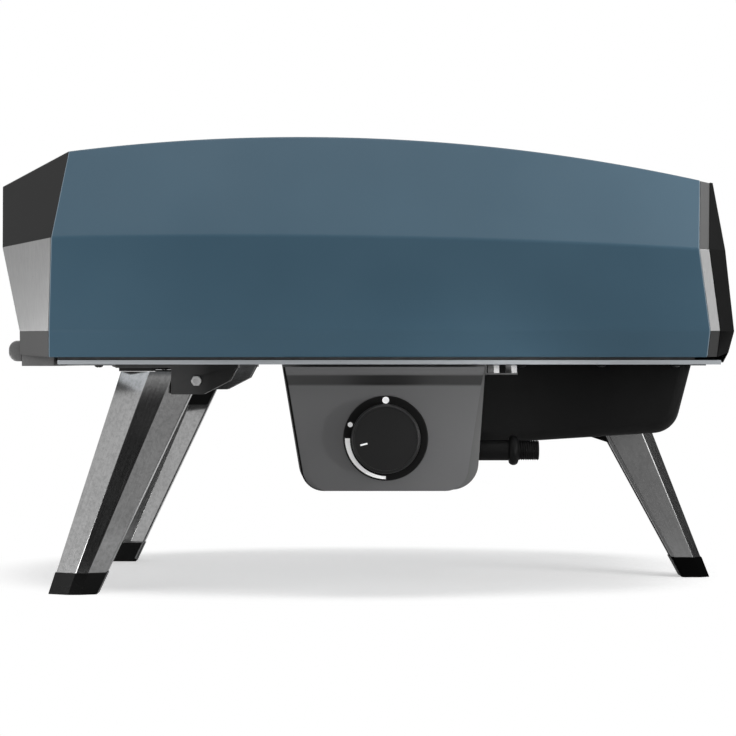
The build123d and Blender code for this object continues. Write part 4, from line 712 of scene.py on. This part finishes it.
def hood_ends():
    """Rear and nose corners of the hood, eight of each, from left sill to right sill."""
    rear = body_corners(FRONT_Y - JOINT_GAP)
    roof, crease, fold, sill = rear[4:]
    nose_y, crease_y, fold_y, low_y = -360.0, -353.4, -337.0, -338.6
    crease_in, crease_drop, roof_drop, sill_lift = 23.0, 8.2, 33.0, 2.6
    nose_crease = np.array([crease[0] - crease_in, crease_y, crease[2] - crease_drop])
    low_roof = roof[2] - roof_drop
    nose_roof = np.array([across(roof, crease, nose_crease, nose_y, low_roof), nose_y, low_roof])
    nose_fold = np.array([across(crease, fold, nose_crease, fold_y, fold[2]), fold_y, fold[2]])
    low_sill = sill[2] + sill_lift
    nose_sill = np.array([across(fold, sill, nose_fold, low_y, low_sill), low_y, low_sill])
    right = np.stack([nose_roof, nose_crease, nose_fold, nose_sill])
    return rear, np.concatenate([right[::-1] * np.array([-1.0, 1.0, 1.0]), right])


def hood():
    """The hood's sheets: straight runs from the nose corners back to the shell, bent at its roof."""
    rear, nose = hood_ends()
    share = end_rows(14, 60.0, 0.8)[..., None]
    corners = mixed(nose, rear, share)
    top = bent(corners[:, 2:6], 1.8)
    surface("hood_top_sheet", top, ["hood_top"], charcoal, wall=1.5, edge=0.3)
    cheeks = [bent(corners[:, 1:3], 1.8, spans=12), bent(corners[:, 5:7], 1.8, spans=12)]
    surface("hood_cheek_sheets", cheeks, ["hood_cheeks"], cheek_steel, wall=1.5, edge=0.3)
    skirts = [bent(corners[:, :2], 1.8), bent(corners[:, 6:], 1.8)]
    surface("hood_skirt_sheets", skirts, ["hood_skirts"], dark_coat, wall=1.5, edge=0.3)


def front_lip():
    """The rolled lip: a rounded section carried across the oven, its ends drawn in to a point."""
    rear, ahead, low, high, corner, half = -337.8, -350.25, 230.0, 250.0, 8.5, 244.0
    loop = [[rear, high]]
    loop += arc((ahead + corner, high - corner), corner, 90, 180, 12).tolist()
    loop += arc((ahead + corner, low + corner), corner, 180, 270, 12).tolist()
    loop += [[rear, low], [rear, (low + high) / 2]]
    loop = np.array(loop)
    middle = np.array([ahead + corner, (low + high) / 2])
    end, rows = np.array([half, half, half - 0.3]), 40
    x = np.concatenate([-end, np.linspace(-half + 1, half - 1, rows), end[::-1]])
    drawn = np.array([0.0, 0.88, 0.97])
    size = np.concatenate([drawn, np.ones(rows), drawn[::-1]])[:, None, None]
    section = middle + (loop - middle) * size
    points = stacked(x[:, None], section[..., 0], section[..., 1])
    surface("rolled_lip", points, ["front_lip"], lip_steel, wrap=True, edge=0.4)


# Rear trim


def rear_trim():
    """The band behind the shell, a little sunk: outlines from one end line to a parallel one."""
    width, sunk, wall = 9.4, 0.5, 1.5
    share = end_rows(4, width - JOINT_GAP, 0.5)
    corners = moved_in(body_corners(REAR_Y + mixed(JOINT_GAP, width, share)), sunk)
    for name, node, finish, parts in (
        ("rear_trim_roof", "rear_trim_top", grey_coat, ((2, 6),)),
        ("rear_trim_strips", "rear_trim_cheeks", trim_steel, ((1, 3), (5, 7))),
        ("rear_trim_feet", "rear_trim_skirts", trim_foot_coat, ((0, 2), (6, 8))),
    ):
        grids = [bent(corners[:, first:last], 1.8) for first, last in parts]
        surface(name, grids, [node], finish, wall=wall, edge=0.3)


# Front legs


def leg_corners(z):
    """Corners of the right front leg's channel at heights z, all sizes changing evenly with height."""
    share = z / 220.0
    front = mixed(-318.8, -248.4, share)
    bevel, side, back = mixed(19.8, 29.5, share), mixed(11.0, 24.8, share), mixed(15.8, 26.2, share)
    outer = np.full_like(z, 200.0)
    inner = outer - 26.0
    nose = outer - bevel * math.tan(math.radians(25.0))
    heel = outer - back * math.tan(math.radians(20.0))
    rear = front + bevel + side + back
    x = np.stack([inner, nose, outer, outer, heel, inner], axis=-1)
    y = np.stack([front, front, front + bevel, front + bevel + side, rear, rear], axis=-1)
    return stacked(x, y, z[..., None])


def front_legs():
    """The front legs: a bent channel whose columns are straight lines from foot to top.

    Each column stops where it meets the hinge's notch, a circle seen from the side. Towards the
    top the side face leans in along a parabola, and less so towards the inner edges.
    """
    low, high, wall, tangent, spans = 3.0, 220.0, 1.8, (1.2, 0.55, 0.55, 1.2), 8
    notch_y, notch_z, notch = -172.3, 210.8, 11.4
    lean_most, lean_start, still_x, side_x = 1.6, 188.0, 186.5, 200.0
    height = np.linspace(low, high, 600)
    trial = bent(leg_corners(height), tangent, spans)
    inside = np.hypot(trial[..., 1] - notch_y, trial[..., 2] - notch_z) < notch
    top = np.where(inside.any(axis=0), height[inside.argmax(axis=0)], high)
    z = low + end_rows(50, high - low, 0.8) * (top - low)
    ends = bent(leg_corners(np.array([low, high])), tangent, spans)
    points = mixed(ends[:1], ends[1:], ((z - low) / (high - low))[..., None])
    lean = np.clip((z - lean_start) / (high - lean_start), 0, 1) ** 2
    points[..., 0] -= lean_most * lean * np.clip((points[..., 0] - still_x) / (side_x - still_x), 0, 1)
    left = flipped(points)
    surface("front_leg_channel_right", points, ["front_leg_right"], leg_steel, wall=wall, edge=0.8)
    surface("front_leg_channel_left", left, ["front_leg_left"], leg_steel, wall=wall, edge=0.8)


# Rear leg


def rear_leg():
    """The rear leg: a folded channel round a front slot, straight from foot to top."""
    z = 3.0 + end_rows(40, 165.0, 0.8)[:, 0] * 165.0
    share = z / 168.0
    front, back = mixed(331.0, 239.3, share), mixed(359.0, 293.8, share)
    lip, bevel = mixed(2.4, 3.4, share), mixed(8.5, 12.4, share)
    half = np.full_like(z, 17.0)
    slot = np.full_like(z, 9.0)
    lip_half, bevel_half = half - 0.7 * lip, half - 0.66 * bevel
    x = np.stack([slot, lip_half, half, half, bevel_half], axis=-1)
    y = np.stack([front, front, front + lip, back - bevel, back], axis=-1)
    x = np.concatenate([x, -x[:, ::-1]], axis=1)
    y = np.concatenate([y, y[:, ::-1]], axis=1)
    points = bent(stacked(x, y, z[:, None]), 0.9)
    surface("rear_leg_channel", points, ["rear_leg"], back_leg_steel, wall=1.8, edge=0.35)


# Hinge bolts


def hexagon(angle):
    """How far a hexagon's edge lies from its middle at an angle, as a share of its corners."""
    return math.cos(math.pi / 6) / np.cos(angle % (math.pi / 3) - math.pi / 6)


def hinge_bolts():
    """The front hinge bolts: a shank and a hexagon head, chamfered to a cone and sunk for a key."""
    shank, start, seat, face, head, socket, depth = 4.0, 164.7, 203.5, 206.5, 5.5, 2.6, 1.8
    profile = [[0.0, start], [shank, start], [shank, seat], [head, seat], [head, face - 1.2]]
    profile += [[head - cut, face - 1.2 + cut * 1.1] for cut in (0.3, 0.6, 0.9, 1.09)]
    profile += [[socket, face], [socket, face - depth], [0.0, face - depth]]

    def shape(radius, height, angle):
        edge = np.where(height < seat, radius, np.minimum(radius, head * hexagon(angle)))
        return np.where(radius == socket, socket * hexagon(angle), edge), height

    right = turned_grid(profile, (0.0, -172.3, 210.8), "x", 72, shape)
    both = [right, flipped(right)]
    surface("front_hinge_bolts", both, ["front_pivot_bolts"], bolt_zinc, wrap=True, edge=0.12)


# Screws


def screw_grid(place, axis, radius, head, length):
    """A screw whose dome is a quarter ellipse with a cross cut in it, its shank below the head."""
    turn = np.radians(np.linspace(0, 90, 9))
    dome = np.stack([radius * np.cos(turn), head * np.sin(turn)], axis=-1)
    inner = np.stack([np.linspace(radius * 0.5, 0, 8), np.full(8, head)], axis=-1)
    shank, cross_half, cross_wall, cross_reach, cross_depth = 2.2, 0.62, 0.2, 0.52, 1.1
    stem = [[0.0, -length], [shank, -length], [shank, 0.0], [radius, 0.0]]
    rows = np.concatenate([stem, dome[1:5], inner])

    def shape(distance, height, angle):
        cross = np.minimum(np.abs(np.sin(angle)), np.abs(np.cos(angle))) * distance
        cut = np.clip((cross_half - cross) / cross_wall, 0, 1)
        cut = cut * np.clip((radius * cross_reach - distance) / 0.4, 0, 1)
        crown = head * np.sqrt(np.clip(1 - (distance / radius) ** 2, 0, 1))
        return distance, np.where(height > 0, crown - cut * cross_depth, height)

    return turned_grid(rows, place, axis, 48, shape)


def base_screws():
    """The screws under the base pan: bright ones over the control box, blackened ones elsewhere."""
    down, under = np.array([1.0, 1.0, -1.0]), 225.8

    def driven(places):
        return [(screw_grid((x, y, -z), "z", 4.4, 2.2, 5.2) * down)[:, ::-1] for x, y, z in places]

    tub = [(side * 156.0, y, under) for side in (-1, 1) for y in (70.0, 150.5, 230.1, 305.0)]
    brackets = [(side * 187.0, y, 223.5) for side in (-1, 1) for y in (-205.2, -148.0)]
    landing = [(x, -274.6, under) for x in (-150.0, 0.0, 150.0)]
    box = [(224.0, y, under) for y in (-69.3, 47.8)]
    surface("pan_screws", driven(tub + brackets + landing), ["base_screws"], dark_zinc, wrap=True)
    surface("box_screws", driven(box), ["base_screws"], bolt_zinc, wrap=True)


def rear_cap_screws():
    """The rear cap's six screws, in two rows."""
    places = [(x, y, z) for x in (-197.66, 0.0, 197.66) for y, z in ((347.1, 276.2), (333.2, 388.68))]
    heads = [screw_grid(place, "y", 3.4, 1.6, 7.0) for place in places]
    surface("cap_screws", heads, ["rear_cap_screws"], zinc, wrap=True)


# Control box


PANEL_LOW = 105.3
PANEL_CORNER = 22.0
PANEL_FACE_X = 252.0
PANEL_FRONT = -64.7, 20.2 / 119.3, -1
PANEL_REAR = 89.7, 18.2 / 119.3, 1


def panel_edge(z, corner_y, lean, side):
    """The y of the panel's front or rear edge at heights z: a straight side over a round corner."""
    low, radius = PANEL_LOW, PANEL_CORNER
    half = (math.pi / 2 + math.atan(lean)) / 2
    centre = corner_y - side * radius / math.tan(half)
    tangent_z = low + radius / math.tan(half) * math.cos(math.atan(lean))
    straight = corner_y + side * lean * (z - low)
    curve = centre + side * np.sqrt(np.clip(radius**2 - (low + radius - z) ** 2, 0, None))
    return np.where(z < tangent_z, curve, straight)


def control_panel():
    """The box's face: straight rows between its front and rear edges, bent out under the body."""
    wall, x, out_x = 1.5, PANEL_FACE_X, 262.0
    corner_z, fold_z, step_z, top_z = PANEL_LOW + PANEL_CORNER, 207.3, 217.5, 224.6
    foot = PANEL_LOW + PANEL_CORNER * (1 - np.cos(np.linspace(0, math.pi / 2, 14)))
    foot = stacked(x, 0.0, foot)
    turns = np.array([[x, 0.0, corner_z], [x, 0.0, fold_z], [out_x, 0.0, step_z], [out_x, 0.0, top_z]])
    profile = np.concatenate([foot[:-1], bent(turns, 2.4, spans=9, steps=7)])[:, None]
    z = profile[..., 2]
    front, rear = panel_edge(z, *PANEL_FRONT), panel_edge(z, *PANEL_REAR)
    share = end_rows(24, 170.0, 1.5).T
    points = stacked(profile[..., 0], mixed(front, rear, share), z)

    def shaded(place):
        """Marks the outward step and the front edge, where the coat's dark edge tone paints shade."""
        y, height = place[..., 1], place[..., 2]
        fold = np.minimum(height - (fold_z - 1.0), step_z + 0.1 - height) / 1.6
        beside = (panel_edge(height, *PANEL_FRONT) + 2.2 - y) / 0.5
        return np.clip(np.maximum(np.minimum(fold, 0.88), beside), 0, 1)

    form = {"wall": wall, "edge": 0.35, "shade": shaded}
    surface("control_box_face", points, ["control_panel"], panel_coat, **form)


KNOB_Y = 13.5
KNOB_Z = 156.1


def knob_parts():
    """The bezel and the knob, each a closed profile turned about the stem."""
    axis = (0.0, KNOB_Y, KNOB_Z)
    back, front, outer, bore, soft, groove = PANEL_FACE_X, 254.6, 40.8, 9.0, 0.9, 0.35
    profile = [[bore, back], [outer, back]]
    profile += arc((outer - soft, front - soft), soft, 0, 90, 6).tolist()
    profile += [[34.6, front], [34.3, front - groove], [33.4, front - groove], [33.1, front]]
    profile += [[bore, front], [bore, back]]
    ring = turned_grid(profile, axis, "x", 160)
    surface("knob_backplate", ring, ["knob_bezel"], plate_black, wrap=True)

    back, face, outer, rim, cut, fillet = 259.2, 279.2, 33.0, 2.5, 0.4, 0.3
    hub, bore, end, skirt, floor, dish = 8.0, 4.05, 273.2, 30.0, 275.7, 278.4
    profile = [[0.0, end], [bore, end], [bore, back], [hub, back], [hub, floor], [skirt, floor]]
    profile += [[skirt, back + cut], [skirt + cut, back], [outer - cut, back], [outer, back + cut]]
    profile += arc((outer - rim, face - rim), rim, 0, 90, 12).tolist()
    profile += arc((skirt + fillet, face - fillet), fillet, 90, 180, 4).tolist()
    profile += arc((skirt - fillet, dish + fillet), fillet, 0, -90, 4).tolist()
    profile += [[22.0, dish], [12.0, dish], [4.0, dish], [0.0, dish]]
    body = turned_grid(profile, axis, "x", 160)
    surface("knob_body", body, ["knob"], knob_black, wrap=True)


def gas_inlet():
    """The inlet: a turned pipe whose tail has a helical groove, and a rounded collar on it."""
    axis = (228.0, 0.0, 143.7)
    start, shoulder, collar, tail, end = 31.0, 98.0, 133.0, 142.2, 162.2
    core, body, crest, groove, pitch, bore = 7.0, 10.0, 9.7, 0.75, 2.2, 4.0
    profile = [[bore, start], [core, start], [core, shoulder]]
    profile += [[body, shoulder], [body, tail], [crest, tail]]
    profile += [[crest, y] for y in np.linspace(tail + 0.1, end - 1.1, 110)]
    profile += [[crest, end - 1.0], [crest - 0.9, end]]
    profile += [[bore + 0.3, end], [bore, end - 0.3], [bore, start]]

    def thread(radius, height, angle):
        phase = ((height - tail) / pitch - angle / (2 * math.pi)) % 1.0
        ridge = np.clip(np.abs(phase - 0.5) * 4 - 0.5, 0, 1)
        cut = (radius == crest) & (height > tail + 0.6) & (height < end - 1.05)
        return radius - groove * (1 - ridge) * cut, height

    pipe = turned_grid(profile, axis, "y", 72, thread)
    surface("gas_inlet_tail", pipe, ["gas_inlet"], hub_black, wrap=True)
    ring, hole, half = 14.6, 10.05, (tail - collar) / 2
    turn, bulge = np.radians(np.linspace(-90, 90, 15)), half * 0.8
    bead_y = collar + half * (1 + np.sin(turn))
    bead = np.stack([ring - bulge + bulge * np.cos(turn), bead_y], axis=-1)
    profile = np.concatenate([[[hole, collar]], bead, [[hole, tail], [hole, collar]]])
    collar_ring = turned_grid(profile, axis, "y", 96)
    surface("gas_inlet_collar", collar_ring, ["inlet_collar"], hub_black, wrap=True)


# CAD nodes that stay


def dress_node(name, thing):
    """Gives a CAD node its finish, with welded and softened edges."""
    finish = NODE_FINISHES.get(name) or SLOT_FINISHES[slot_of(name)]
    thing.data.materials.clear()
    thing.data.materials.append(finish)
    weld = thing.modifiers.new("weld", "WELD")
    weld.merge_threshold = 2e-6
    soften = thing.modifiers.new("edge", "BEVEL")
    soften.width = NODE_EDGES.get(name, USUAL_EDGE) * MM
    soften.segments = 2
    soften.limit_method = "ANGLE"
    soften.angle_limit = math.radians(40)
    soften.use_clamp_overlap = True
    soften.harden_normals = True


# Floor and surround

FLOOR_GLOW = 0.50
SOFT_LIGHT = 0.30
FLOOR_LIGHT = 0.75


def pale_floor():
    """A stretch of pale floor that keeps the oven's shadow and is plain white away from it."""
    far, near = 2400.0, 330.0
    shift, long, wide = 0.06, 0.31, 0.40
    points = stacked(np.array([[-far], [near]]), np.array([[-far, far]]), 0.0)
    mesh = bpy.data.meshes.new("floor")
    mesh.from_pydata((points.reshape(-1, 3) * MM).tolist(), [], [(0, 2, 3, 1)])
    floor = bpy.data.objects.new("floor", mesh)
    bpy.context.scene.collection.objects.link(floor)
    finish = Finish("pale_floor", Specular_IOR_Level=0.0, Roughness=1.0)
    finish.shader.inputs["Base Color"].default_value = (0.8, 0.8, 0.8, 1.0)
    camera = finish.ray("Is Camera Ray")
    seen = (camera + 0.3 * finish.ray("Is Glossy Ray") + finish.ray("Is Transmission Ray")).held()
    white = {"Color": (1.0, 1.0, 1.0, 1.0)}
    glow = finish.add("ShaderNodeEmission", None, white | {"Strength": seen * FLOOR_GLOW})
    lit = finish.add("ShaderNodeAddShader", None, {0: finish.shader.outputs[0], 1: glow.outputs[0]})
    plain = finish.add("ShaderNodeEmission", None, white)
    x, y = (finish.along(0) + shift) * (1 / long), finish.along(1) * (1 / wide)
    away = finish.step((x * x + y * y) ** 0.5, 0.85, 1.15) * camera
    both = finish.add("ShaderNodeMixShader", None, {0: away, 1: lit.outputs[0], 2: plain.outputs[0]})
    finish.link(both.outputs[0], finish.tree.nodes["Material Output"].inputs["Surface"])
    mesh.materials.append(finish.material)


def surround():
    """A white surround, plain to the camera, which polished metal sees with two dark flags in it.

    One flag stands before the right side, the other off the rear. Matt surfaces get soft light
    from above and more from the floor's side.
    """
    world = bpy.data.worlds.new("surround")
    bpy.context.scene.world = world
    world.use_nodes = True
    nodes = Nodes(world.node_tree)
    x, y = nodes.along(0, "Generated"), nodes.along(1, "Generated")
    up = nodes.along(2, "Generated")
    below = 1 - nodes.step(up, -0.12, 0.02)

    def towards(degrees):
        turn = math.radians(degrees)
        return x * math.cos(turn) + y * math.sin(turn)

    before = nodes.step(towards(-18.0), 0.88, 0.955) * (1 - nodes.step(up, 0.02, 0.26))
    behind = nodes.step(towards(74.0), 0.78, 0.86) * (1 - nodes.step(up, 0.42, 0.6))
    plain = (nodes.ray("Is Camera Ray") + nodes.ray("Is Transmission Ray")).held()
    gloss = nodes.ray("Is Glossy Ray")
    soft = SOFT_LIGHT + (FLOOR_LIGHT - SOFT_LIGHT) * below
    mirrored = (1 - 0.97 * (before + behind)) * (1 - 0.45 * below)
    level = soft * (1 - gloss) + mirrored * gloss
    strength = plain + (1 - plain) * level
    nodes.link(strength, world.node_tree.nodes["Background"].inputs["Strength"])
    world.node_tree.nodes["Background"].inputs["Color"].default_value = (1.0, 1.0, 1.0, 1.0)


place_camera()
pale_floor()
surround()
softbox("overhead", (0.5, 0.1, 2.3), (0.0, 0.0, 0.25), 2.0, 2.0, 32.0)
softbox("front_bank", (0.66, -0.66, 0.02), (0.28, -0.33, 0.28), 0.3, 0.2, 1.7)
softbox("rear_bank", (0.55, 0.85, 0.42), (0.28, 0.33, 0.28), 0.4, 0.4, 3.0)
softbox("panel_spot", (0.67, 0.42, 0.12), (0.252, 0.085, 0.155), 0.06, 0.06, 0.06, spread=33.0)

outer_shell()
hood()
front_lip()
rear_trim()
front_legs()
rear_leg()
hinge_bolts()
base_screws()
rear_cap_screws()
control_panel()
knob_parts()
gas_inlet()

for name, thing in frame["nodes"].items():
    dress_node(name, thing)

scene = bpy.context.scene
scene.view_settings.view_transform = "Standard"
